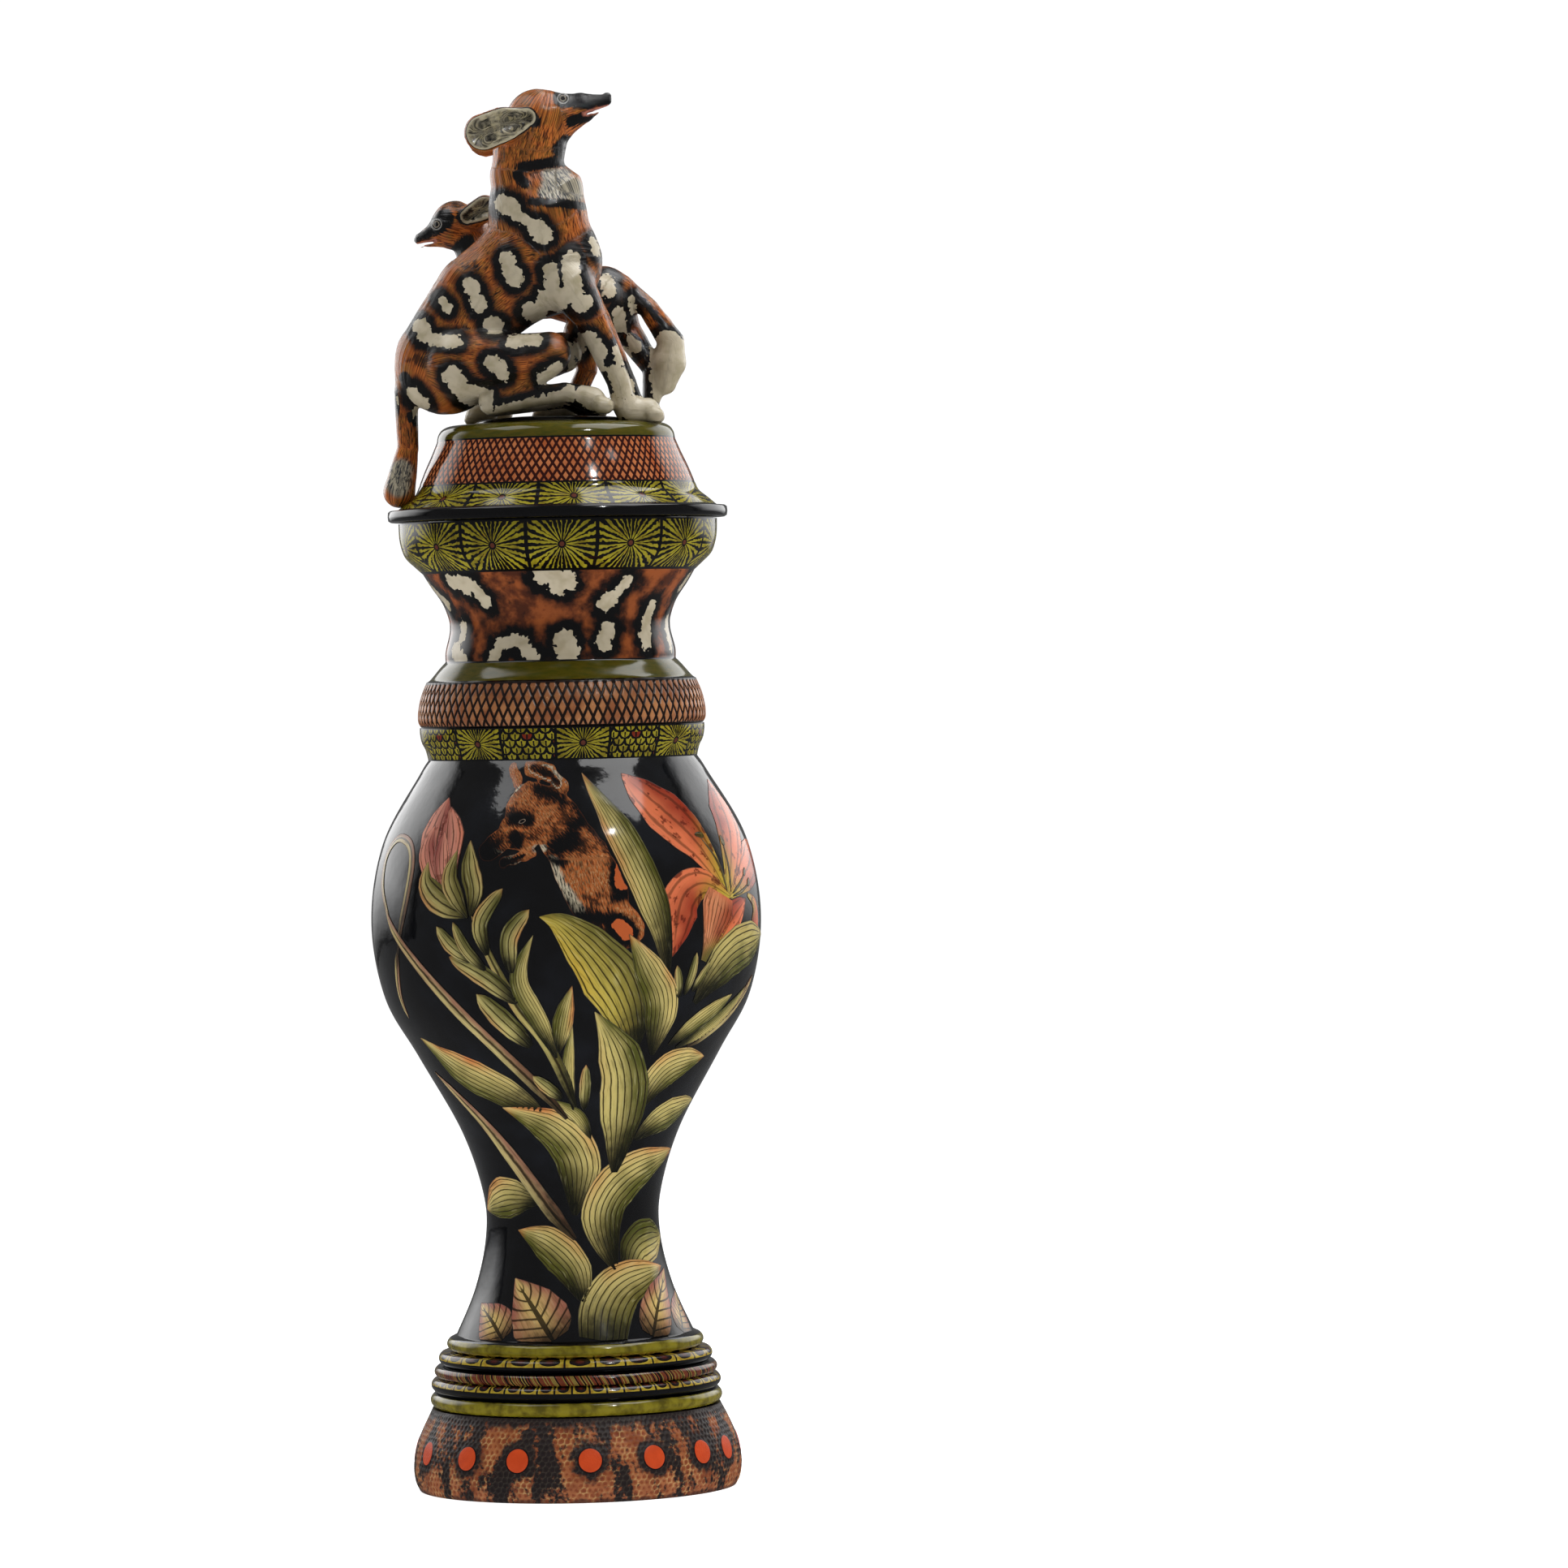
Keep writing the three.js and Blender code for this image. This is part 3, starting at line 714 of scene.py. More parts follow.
foot_skin = spaced(catmull(FOOT, 8), 0.95)
turned("vase_body_foot", np.concatenate([[(0, 0), (60, 0), (104, 0)], foot_skin]),
       np.concatenate([inner_wall(FLOOR, FOOT[-1][1]), [(0, FLOOR)]]), 720, foot_material(),
       foot_relief, foot_layers)
turned("vase_body_beads", bead_outline(), inner_wall(BEADS[0][0], BELLY[0][1]), 288, bead_material())
belly = turned("vase_body_belly", spaced(catmull(BELLY, 16), 4), inner_wall(BELLY[0][1], BELLY[-1][1]), 288,
               black_glaze("black_glaze"))
turned("vase_body_band", spaced(catmull(BAND, 4), 1.5), inner_wall(BAND[0][1], SEAM), 288, band_material())
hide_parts("vase_body")

# The ring and the lid each start with the collar that keeps them in place on the piece below.
turned("neck_ring", np.concatenate([[(80.8, 504.3), (80.8, 516.3)], spaced(catmull(RING, 6), 0.8)]),
       np.array([(68.4, 546.5), (71.8, 504.3)]), 1080, ring_material(), ring_relief)
throat_skin = np.concatenate([spaced(catmull(CONE, 4), 1.5), spaced(catmull(THROAT, 6), 1.5),
                              spaced(catmull(LIP, 5), 1.5)])
throat = turned("neck_throat", throat_skin,
                np.array([(89.8, LIP_TOP), (89.8, 634), (74.3, 609), (65.9, 577), (68.4, 546.5)]), 360,
                throat_material(), layers=throat_layers)
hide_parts("neck_section")

lid_skin = np.concatenate([[(88.6, 642.3), (88.6, 655)], RIM, spaced(catmull(ROSETTE_SKIRT, 4), 1.5),
                           spaced(catmull(HATCH_SKIRT, 4), 1.5), spaced(catmull(SHOULDER, 4), 1.0), MOUND])
lid_inside = np.array([(0, 709), (73, 705), (76.5, 697), (84.4, 679), (89.2, 668), (80.1, 656),
                       (80.1, 642.3)])
dome = turned("lid_dome", lid_skin, lid_inside, 288, lid_material())
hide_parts("lid")


# ---------------------------------------------------------------- modelled dogs
# A limb is a chain of stations (x, y, z, radius) from its root to its tip. squash narrows it along y, and
# blend is how widely it melts into the limbs before it.
FAR = 1e3  # farther than anything on the urn


def limb(*stations, squash=1.0, blend=5.0):
    return {"stations": stations, "squash": squash, "blend": blend}


def toes(x, y, z, spread, size, reach):
    """Three toes side by side at the front of a paw."""
    places = [y + side * spread for side in (-1, 0, 1)]
    return [limb((x, place, z, size), (x + reach, place, z - 1, size * 0.92), blend=1.6) for place in places]


SITTING_DOG = [
    limb((-72, -22, 762, 35), (-47, -22, 804, 33), (-16, -22, 826, 35), squash=0.68),
    limb((-16, -22, 826, 35), (0, -22, 828, 34), squash=0.7),
    limb((-2, -22, 828, 34), (-9, -22, 862, 32), squash=0.72),
    limb((-9, -22, 862, 32), (-16, -22, 886, 24), (-13, -22, 906, 23), squash=0.82),
    limb((-3, -22, 889, 13), (3, -22, 877, 19.5), squash=0.95, blend=2.5),
    limb((-13, -22, 906, 23), (-7, -22, 923, 22), squash=0.85),
    limb((8, -22, 926.5, 16), (22, -22, 931.2, 10.6), (38.5, -22, 936, 4.6), squash=0.85),
    limb((40, -22, 939, 2.9), blend=1.5),
    limb((10.5, -28.5, 937.6, 4.0), blend=1.4), limb((10.5, -15.5, 937.6, 4.0), blend=1.4),
    limb((-8, -35, 925, 8), (-30, -43, 919.5, 12.5), (-43, -46, 914.5, 13), squash=0.5),
    limb((-8, -9, 925, 8), (-30, -1, 919.5, 12.5), (-43, 2, 914.5, 13), squash=0.5),
    limb((12, -36, 812, 17), (26, -37, 790, 11), (44, -35, 746, 8), (47, -34, 733, 8)),
    limb((50, -34, 726, 8.5), (63, -31, 727, 8.5)),
    limb((12, -8, 812, 17), (28, -9, 790, 10.5), (48, -11, 746, 7.5), (52, -12, 733, 7.5)),
    limb((54, -12, 727, 7.5), (64, -13, 727, 7.8)),
    limb((-62, -34, 760, 25), (-22, -44, 762, 18), (-2, -45, 766, 14.5), blend=4),
    limb((-4, -46, 757, 9), (-42, -46, 735, 8), blend=1.6),
    limb((-42, -47, 733, 7.5), (8, -46, 740, 6.5), (26, -45, 734, 9.2), blend=1.8),
    limb((-62, -10, 760, 25), (-20, -3, 763, 18), (5, -1, 768, 14), blend=4),
    limb((-42, 0, 733, 7.5), (8, 0, 737, 6.5), (24, -2, 730, 8.6), blend=2),
    limb((-92, -18, 772, 12), (-100, -16, 742, 8), (-99.5, -15, 705, 7.2), (-106, -15, 676, 11), blend=4),
    *toes(66, -32, 724.5, 5.6, 4.8, 4), *toes(66, -12, 724, 5, 4.5, 4),
    *toes(31, -45, 731, 5.6, 6, 4), *toes(26, -2, 728.5, 5, 5.6, 4),
]
SITTING_CUTS = [
    limb((-14, -40.5, 924.5, 4.2), (-30, -50, 919.5, 11.2), (-42.5, -53, 914.5, 11.6),
         squash=0.55, blend=0.8),
    limb((-14, -3.5, 924.5, 4.2), (-30, 6, 919.5, 11.2), (-42.5, 9, 914.5, 11.6), squash=0.55, blend=0.8),
    limb((26, -22, 927.2, 0.9), (46, -22, 933.2, 1.0), squash=12, blend=0.8),
    limb((40.5, -25.5, 939.6, 0.8), (42, -24.5, 939.4, 0.8), blend=0.5),
]
STANDING_DOG = [
    limb((-38, 27, 815, 25), (0, 28, 810, 17.5), (32, 29, 805, 23), squash=0.75),
    limb((-42, 27, 822, 20), (-56, 27, 848, 13)),
    limb((-58, 27, 856, 14), (-66, 27, 858, 16)),
    limb((-74, 27, 853, 11), (-89, 27, 847.5, 5.2)),
    limb((-91, 27, 848.5, 2.8), blend=1.5),
    limb((-78, 20, 857.5, 3.4), blend=1), limb((-78, 34, 857.5, 3.4), blend=1),
    limb((-60, 17, 860, 7.5), (-45, 11, 867, 9.5), squash=0.65),
    limb((-60, 37, 860, 7.5), (-45, 43, 867, 9.5), squash=0.65),
    limb((-42, 18, 806, 15), (-42, 16, 785, 9), (-46, 15, 745, 6.5), (-47, 15, 733, 6.5)),
    limb((-47, 15, 728, 7.5), (-54, 15, 727, 7.6)),
    limb((-42, 37, 806, 15), (-38, 39, 785, 9), (-38, 39, 745, 6.5), (-38, 39, 733, 6.5)),
    limb((-38, 39, 728, 7.5), (-46, 39, 727, 7.5)),
    limb((30, 18, 804, 17), (17, 16, 782, 11), (22, 15, 757, 7), (12, 15, 736, 6.5)),
    limb((8, 15, 729, 7), (-8, 15, 729, 7)),
    limb((37, 38, 804, 18), (49, 38, 783, 10), (66, 31, 757, 7), (65, 28, 738, 6.5)),
    limb((63, 27, 726, 8), (54, 28, 726, 8)),
    limb((48, 29, 812, 7.5), (64, 28, 798, 7), (79, 28, 775, 9), (77, 28, 761, 12), (74, 28, 747, 8),
         blend=4),
    *toes(-55, 15, 725, 4.6, 4.2, -3.5), *toes(-47, 39, 725, 4.6, 4.2, -3.5),
    *toes(-9, 15, 726.5, 4.6, 4.4, -3.5), *toes(54, 28, 724, 4.8, 4.6, -3.5),
]
STANDING_CUTS = [
    limb((-57, 12, 862, 3), (-45, 5, 868, 6.3), squash=0.6, blend=1),
    limb((-57, 42, 862, 3), (-45, 49, 868, 6.3), squash=0.6, blend=1),
    limb((-80, 27, 846.4, 0.8), (-96, 27, 843.4, 0.9), squash=12, blend=0.6),
]


def limb_distance(x, y, z, shape):
    """Distance outside a limb, and the place of the nearest point along it and round it in millimetres."""
    stations = [np.array(station, float) for station in shape["stations"]]
    if len(stations) == 1:
        stations = stations * 2
    best, along, around, passed = FAR, 0.0, 0.0, 0.0
    for start, end in zip(stations, stations[1:]):
        run = end[:3] - start[:3]
        length = max(float(run @ run), 1e-6)
        reach = (x - start[0]) * run[0] + (y - start[1]) * run[1] + (z - start[2]) * run[2]
        share = np.clip(reach / length, 0, 1)
        gap_x = x - start[0] - share * run[0]
        gap_y = (y - start[1] - share * run[1]) / shape["squash"]
        gap_z = z - start[2] - share * run[2]
        distance = np.sqrt(gap_x**2 + gap_y**2 + gap_z**2) - (start[3] + share * (end[3] - start[3]))
        side = (gap_x * run[2] - gap_z * run[0]) / math.sqrt(length)
        nearer = distance < best
        best = np.where(nearer, distance, best)
        along = np.where(nearer, passed + share * math.sqrt(length), along)
        around = np.where(nearer, np.arctan2(side, gap_y) * start[3], around)
        passed += math.sqrt(length)
    return best, along, around


LIMB_MARGIN = 9.0


def limb_window(axes, shape, margin):
    """The part of the grid that a limb can reach."""
    stations = np.array(shape["stations"], float)
    radius = stations[:, 3:] * [1, max(shape["squash"], 1), 1]
    low, high = (stations[:, :3] - radius).min(0) - margin, (stations[:, :3] + radius).max(0) + margin
    return tuple(slice(int(np.searchsorted(axis, a)), int(np.searchsorted(axis, b)))
                 for axis, a, b in zip(axes, low, high))


def sculpted_field(limbs, cuts, axes):
    """Distances on a grid outside the limbs melted together, with the cuts taken out."""
    field = np.full([len(axis) for axis in axes], FAR)
    for shape, sign in [(shape, 1) for shape in limbs] + [(shape, -1) for shape in cuts]:
        window = limb_window(axes, shape, LIMB_MARGIN)
        x, y, z = np.meshgrid(*(axis[span] for axis, span in zip(axes, window)), indexing="ij", sparse=True)
        distance = limb_distance(x, y, z, shape)[0] + np.zeros(field[window].shape)
        old = field[window] * sign
        mix = np.maximum(shape["blend"] - np.abs(old - distance), 0) / shape["blend"]
        field[window] = (np.minimum(old, distance) - mix * mix * shape["blend"] / 4) * sign
    return field


def surface_net(field, axes):
    """A quad mesh through the places where the field changes sign: one point in each crossed cell."""
    low = np.array([axis[0] for axis in axes])
    cell = axes[0][1] - axes[0][0]
    inside = field < 0
    corners = list(itertools.product((0, 1), repeat=3))
    size = [n - 1 for n in field.shape]
    count = sum(inside[a:a + size[0], b:b + size[1], c:c + size[2]].astype(np.int8) for a, b, c in corners)
    crossed = np.argwhere((count > 0) & (count < 8))
    values = np.stack([field[tuple((crossed + corner).T)] for corner in corners], -1)
    total, hits = np.zeros((len(crossed), 3)), np.zeros(len(crossed))
    for first, second in itertools.combinations(range(8), 2):
        a, b = np.array(corners[first]), np.array(corners[second])
        if np.abs(a - b).sum() != 1:
            continue
        cut = (values[:, first] < 0) != (values[:, second] < 0)
        share = values[:, first] / np.where(cut, values[:, first] - values[:, second], 1)
        total += np.where(cut[:, None], a + share[:, None] * (b - a), 0)
        hits += cut
    points = low + (crossed + total / hits[:, None]) * cell
    number = np.full(size, -1)
    number[tuple(crossed.T)] = np.arange(len(crossed))
    faces = []
    for axis in range(3):
        step = np.eye(3, dtype=int)
        one, two = step[(axis + 1) % 3], step[(axis + 2) % 3]
        edges = np.argwhere(inside != np.roll(inside, -1, axis))
        edges = edges[(edges > 0).all(1) & (edges < np.array(size)).all(1)]
        offsets = (0 * one, -one, -one - two, -two)
        quad = np.stack([number[tuple((edges + offset).T)] for offset in offsets], -1)
        entering = ~inside[tuple(edges.T)]
        quad[entering] = quad[entering][:, ::-1]
        faces.append(quad)
    return points, np.concatenate(faces)


def point_normals(points, faces):
    a, b, c, d = (points[faces[:, n]] for n in range(4))
    flat = np.cross(c - a, d - b)
    normals = np.zeros_like(points)
    for n in range(4):
        np.add.at(normals, faces[:, n], flat)
    return normals / np.maximum(np.linalg.norm(normals, axis=1, keepdims=True), 1e-9)


RELAX_SHARE = 0.45


def relaxed(points, faces, rounds):
    """The points drawn towards their neighbours, which takes the grid's steps out of the surface."""
    for _ in range(rounds):
        total, count = np.zeros_like(points), np.zeros(len(points))
        for n in range(4):
            near = faces[:, (n + 1) % 4]
            np.add.at(total, faces[:, n], points[near])
            np.add.at(count, faces[:, n], 1)
        points = points + (total / count[:, None] - points) * RELAX_SHARE
    return points


def capsules_distance(x, z, shapes):
    """Distance outside the nearest of some strips (x0, z0, x1, z1, radius), seen from the side."""
    nearest = np.full(x.shape, FAR)
    for x0, z0, x1, z1, radius in shapes:
        run, climb = x1 - x0, z1 - z0
        share = np.clip(((x - x0) * run + (z - z0) * climb) / max(run * run + climb * climb, 1e-6), 0, 1)
        nearest = np.minimum(nearest, np.hypot(x - x0 - share * run, z - z0 - share * climb) - radius)
    return nearest


def pelt(points, limbs, look):
    """The per-point layers of a dog's coat from its markings."""
    x, y, z = points.T
    best, flow = np.full(len(points), FAR), np.zeros((len(points), 3))
    for index, shape in enumerate(limbs):
        distance, along, around = limb_distance(x, y, z, shape)
        nearer = distance < best - 0.5
        best = np.where(nearer, distance, best)
        flow[nearer] = np.stack([along / 7, around / 1.15, 0 * x + index * 7.3], -1)[nearer]
    near_side = y < look["middle"]
    shift = np.where(near_side, 0, 7)
    patch = capsules_distance(x + shift, z + shift * 0.6, look["patches"])
    socks = capsules_distance(x, z, look["socks"])
    eye_x, eye_z = look["eye"]
    return {
        "fur": flow,
        "patch": np.minimum(patch, socks),
        "soot": smoothstep(capsules_distance(x, z, look["soot"]), 5.0, -2.0),
        "rose": smoothstep(capsules_distance(x, z, look["lips"]), 0.5, -0.3),
        "pale": smoothstep(capsules_distance(x, z, look["pale"]), 2.0, -2.0),
        "ear": np.clip(-look["cup"](x, y, z), -9, 9),
        "eye": np.hypot(x - eye_x, z - eye_z),
    }


def cup_of(cut, y_side):
    """How far inside an ear's hollow a point is."""
    def measure(x, y, z):
        return np.minimum(limb_distance(x, y, z, cut)[0], limb_distance(x, 2 * y_side - y, z, cut)[0]) - 1.2
    return measure


# A dog's markings: strips (x, z, x, z, radius) seen from the side. middle is the y between its two sides.
SITTING_LOOK = {
    "middle": -22,
    "eye": (10.5, 937.6),
    "cup": cup_of(SITTING_CUTS[0], -22),
    "patches": [(-31, 867, -25, 864, 6), (-22, 859, -10, 852, 3.5), (-8, 850, -4, 845, 6.3),
                (-29, 830, -28, 828, 5), (-26, 820, -24, 817, 6), (-54, 813, -52, 809, 4.8),
                (-50, 803, -48, 799, 5.2), (-74, 803, -69, 798, 3.2), (-88, 786, -85, 780, 5.5),
                (-80, 777, -64, 775, 4.2), (-40, 786, -38, 785, 5.8), (0, 822, 2, 808, 5),
                (14, 828, 15, 806, 6.5), (22, 800, 20, 798, 6), (-5, 803, -3, 800, 5.5),
                (-14, 795, -10, 793, 6), (4, 800, 12, 806, 6), (29, 841, 31, 834, 2.8),
                (25, 774, 31, 766, 6), (28, 760, 33, 757, 3), (43, 768, 45, 758, 2.8),
                (-26, 774, -10, 775, 4.6), (-40, 760, -36, 757, 5), (-34, 757, -33, 751, 3.8),
                (-6, 749, 3, 755, 4.5), (-67, 752, -63, 746, 6.3), (-58, 740, -50, 738, 6.5),
                (-95, 742, -88, 734, 4.2), (18, 776, 19, 760, 3)],
    "socks": [(-45, 740, -44, 726, 4.5), (-36, 727, 10, 737, 4.4), (11, 742, 13, 738, 3),
              (24, 738, 40, 728, 8.5), (43, 751, 48, 741, 6.5), (56, 727, 72, 726, 10.5),
              (30, 722, 42, 722, 4)],
    "soot": [(10, 938, 18, 937, 5.5), (18, 938, 28, 936, 5.5), (26, 937, 42, 937, 4.4),
             (41, 937, 42, 936, 4.5), (28, 923, 42, 928, 1.2), (16, 922, 24, 925, 2.6),
             (-12, 925, -9, 922, 3.6), (-18, 891, 12, 896, 2.6), (-21, 886, -16, 880, 2.5),
             (-12, 868, 22, 865, 1.8), (8, 903, 12, 908, 4), (-50, 722, -38, 719, 3),
             (-100, 752, -96, 746, 3), (30, 722, 40, 720, 2), (-42, 873, -38, 869, 3),
             (-96, 726, -58, 722, 3)],
    "lips": [(25, 927, 41, 931.6, 1.5)],
    "pale": [(0, 886, 10, 886, 5), (2, 879, 16, 878, 7), (-2, 874, 18, 872, 5),
             (-106, 680, -104, 690, 8)],
}
STANDING_LOOK = {
    "middle": 28,
    "eye": (-78.5, 857.5),
    "cup": cup_of(STANDING_CUTS[0], 27),
    "patches": [(37, 817, 38, 809, 4.5), (53, 804, 54, 796, 2.3), (44, 795, 45, 780, 4),
                (47, 776, 54, 772, 4.8), (69, 754, 71, 748, 4), (-30, 820, -12, 815, 6),
                (5, 808, 18, 812, 5), (-40, 790, -42, 770, 4), (20, 780, 18, 772, 4)],
    "socks": [(-62, 726, -36, 726, 8), (-18, 727, 8, 728, 8), (48, 724, 62, 724, 6),
              (77, 768, 78, 744, 13.5)],
    "soot": [(-79, 857, -73, 861, 6), (-88, 851, -93, 849, 2.6), (-82, 854, -86, 851, 3),
             (-60, 862, -50, 866, 4), (-58, 845, -66, 838, 4), (82, 776, 86, 769, 3.5),
             (60, 803, 74, 787, 1.5), (66, 742, 60, 738, 3)],
    "lips": [(-92, 843.8, -80, 846.4, 1.4)],
    "pale": [(76, 765, 78, 745, 13)],
}


def pelt_material():
    """Orange-brown fur in fine strokes, cream patches ringed with black, and dark faces."""
    p = Paint("pelt")
    flow = p.layer("fur", "Vector")
    strands = p.noise(0.8, 4, flow)
    fine = p.noise(0.45, 2, flow)
    cloud = p.noise(11, 3)
    fur = p.mix(srgb(208, 116, 50), srgb(134, 68, 28), p.smooth(strands, 0.38, 0.6))
    fur = p.mix(fur, srgb(176, 124, 50), p.smooth(cloud, 0.42, 0.62) * p.smooth(fine, 0.35, 0.6) * 0.8)
    dark = p.smooth(fine * 0.6 + strands * 0.4 + (cloud - 0.5) * 0.2, 0.49, 0.6)
    fur = p.mix(fur, srgb(38, 20, 11), dark * 0.88)
    spread = p.layer("patch") + (strands - 0.5) * 9 + (cloud - 0.5) * 7
    halo = p.smooth(spread, 9.0, 3.6)
    grey_strands = p.smooth(fine * 0.55 + strands * 0.45, 0.44, 0.56)
    grizzle = p.mix(srgb(190, 180, 156), srgb(60, 62, 66), grey_strands)
    fur = p.mix(fur, grizzle, p.layer("pale"))
    sooty = p.smooth(p.layer("soot") + (strands - 0.5) * 1.2, 0.35, 0.7)
    sooty = p.most(sooty, p.smooth(p.noise(20, 3) + (strands - 0.5) * 0.35, 0.57, 0.67) * 0.85)
    colour = p.mix(fur, BLACK, p.most(halo, sooty))
    nibbled = p.layer("patch") + (p.noise(3.6, 2) - 0.5) * 7.5
    cream = p.mix(CREAM, srgb(184, 172, 142), p.smooth(p.noise(9, 2), 0.4, 0.75))
    colour = p.mix(colour, cream, nibbled < 0.0)
    ear = p.layer("ear")
    inside_ear = p.mix(srgb(152, 138, 92), BLACK, p.smooth(strands * 0.6 + p.noise(4, 2) * 0.4, 0.4, 0.52))
    inside_ear = p.mix(inside_ear, srgb(196, 186, 158), p.smooth(ear + (strands - 0.5) * 4, 2.0, 0.0))
    colour = p.mix(colour, BLACK, p.smooth(ear, -2.6, -1.6))
    colour = p.mix(colour, inside_ear, ear > -0.9)
    eye = p.layer("eye")
    rings = p.mix(BLACK, srgb(150, 148, 144), p.between(eye, 3.1, 4.0))
    colour = p.mix(colour, rings, p.both(eye < 5.0, fine > 0.3))
    colour = p.mix(colour, p.mix(srgb(150, 140, 124), BLACK, eye < 1.6), eye < 2.3)
    colour = p.mix(colour, srgb(188, 116, 96), p.layer("rose"))
    return p.finish(colour, 0.16, strands * 0.6 + fine * 0.3, 0.45, coat=0.25)


def grid_axes(limbs, cell):
    """Grid lines that hold every limb with a margin."""
    stations = np.array([station for shape in limbs for station in shape["stations"]], float)
    low = (stations[:, :3] - stations[:, 3:]).min(0) - 3 * cell
    high = (stations[:, :3] + stations[:, 3:]).max(0) + 3 * cell
    return [np.arange(a, b, cell) for a, b in zip(low, high)]


STRAND_DEPTH = 0.28


def dog(name, limbs, cuts, look, material):
    """A modelled dog, its surface raised into strands of fur away from its patches and eyes."""
    cell = 1.4
    axes = grid_axes(limbs, cell)
    points, faces = surface_net(sculpted_field(limbs, cuts, axes), axes)
    points = relaxed(points, faces, 2)
    layers = pelt(points, limbs, look)
    normals = point_normals(points, faces)
    strands = lumps(layers["fur"] * [1.0, 0.42, 1.0], 1.0, 11)
    calm = smoothstep(layers["patch"], -1, 3) * smoothstep(layers["eye"], 7, 10)
    points = points + normals * (strands * STRAND_DEPTH * calm)[:, None]
    return make_mesh(name, points, faces.tolist(), material, layers)


coat = pelt_material()
dog("sitting_dog", SITTING_DOG, SITTING_CUTS, SITTING_LOOK, coat)
dog("standing_dog", STANDING_DOG, STANDING_CUTS, STANDING_LOOK, coat)


# ---------------------------------------------------------------- painted picture
# The picture is a thin enamel layer on the belly. Its shapes are ribbons. Each is a kind, a lit side (1 for
# the left of its run), a width in millimetres, and a spine of (angle, height) points from base to tip.
BELLY_LINE = spaced(catmull(BELLY, 16), 1)
SUNK = -0.5  # how far a painted shape's underside is below the belly's surface
LEAF_SHAPE = ([0, 0.12, 0.3, 0.5, 0.72, 0.9, 1], [0.12, 0.46, 0.86, 1, 0.8, 0.34, 0.02])
BROAD_SHAPE = ([0, 0.2, 0.45, 0.65, 0.82, 0.94, 1], [0.95, 1, 0.96, 0.76, 0.46, 0.18, 0.02])
HEART_SHAPE = ([0, 0.12, 0.34, 0.6, 0.84, 1], [0.55, 0.86, 1, 0.78, 0.34, 0.02])
BLADE_SHAPE = ([0, 0.15, 0.5, 0.9, 1], [0.25, 0.9, 1, 0.55, 0.03])
PETAL_SHAPE = ([0, 0.2, 0.45, 0.68, 0.86, 0.95, 1], [0.16, 0.42, 0.86, 1, 0.62, 0.24, 0.02])
OVAL_SHAPE = ([0, 0.1, 0.3, 0.6, 0.85, 0.96, 1], [0.25, 0.6, 0.92, 1, 0.72, 0.38, 0.05])
SPREAD_SHAPE = ([0, 0.2, 0.5, 0.8, 1], [0.16, 0.3, 0.62, 0.96, 0.8])

# kind: (shape, light, shade, base, warm edge, number of veins)
KINDS = {
    "leaf": (LEAF_SHAPE, (206, 188, 116), (86, 86, 30), (26, 27, 9), (204, 104, 50), 8),
    "broad": (BROAD_SHAPE, (204, 186, 116), (96, 90, 36), (96, 92, 46), (212, 106, 44), 8),
    "plain": (LEAF_SHAPE, (198, 182, 110), (78, 80, 30), (26, 27, 9), (188, 160, 96), 7),
    "yellow": (LEAF_SHAPE, (196, 176, 78), (116, 110, 52), (32, 34, 12), (208, 172, 60), 8),
    "bladelet": (BLADE_SHAPE, (190, 176, 116), (150, 104, 84), (120, 84, 62), (176, 122, 100), 1),
    "oval": (OVAL_SHAPE, (188, 176, 110), (80, 80, 34), (30, 31, 12), (194, 112, 62), 3),
    "petal": (PETAL_SHAPE, (228, 120, 78), (150, 52, 32), (190, 164, 60), (228, 126, 86), 3),
    "trumpet": (SPREAD_SHAPE, (216, 138, 96), (160, 76, 50), (150, 136, 62), (214, 112, 72), 8),
    "bud": (PETAL_SHAPE, (218, 146, 124), (160, 88, 80), (160, 126, 84), (220, 120, 88), 4),
    "sepal": (LEAF_SHAPE, (184, 170, 106), (98, 92, 44), (88, 82, 36), (196, 118, 72), 3),
    "feather": (HEART_SHAPE, (222, 192, 118), (164, 104, 84), (150, 110, 74), (158, 88, 80), 0),
    "stem": (BLADE_SHAPE, (176, 164, 98), (96, 88, 42), (60, 56, 24), (184, 140, 84), 1),
    "stamen": (BLADE_SHAPE, (86, 66, 22), (40, 30, 12), (120, 110, 40), (60, 44, 16), 0),
}

# How far a kind looks like flesh of a flower, which has freckles and fainter veins.
FLESH = {"petal": 1.0, "bud": 0.6, "trumpet": 0.4}
RIPPLE = 0.035  # depth of the ripple in a ribbon's edges, as a share of its half width
CROWN = 0.02  # rise of a ribbon's middle over its edges
ROW_STEP = 0.025  # rise of each ribbon of a piece over the one before it

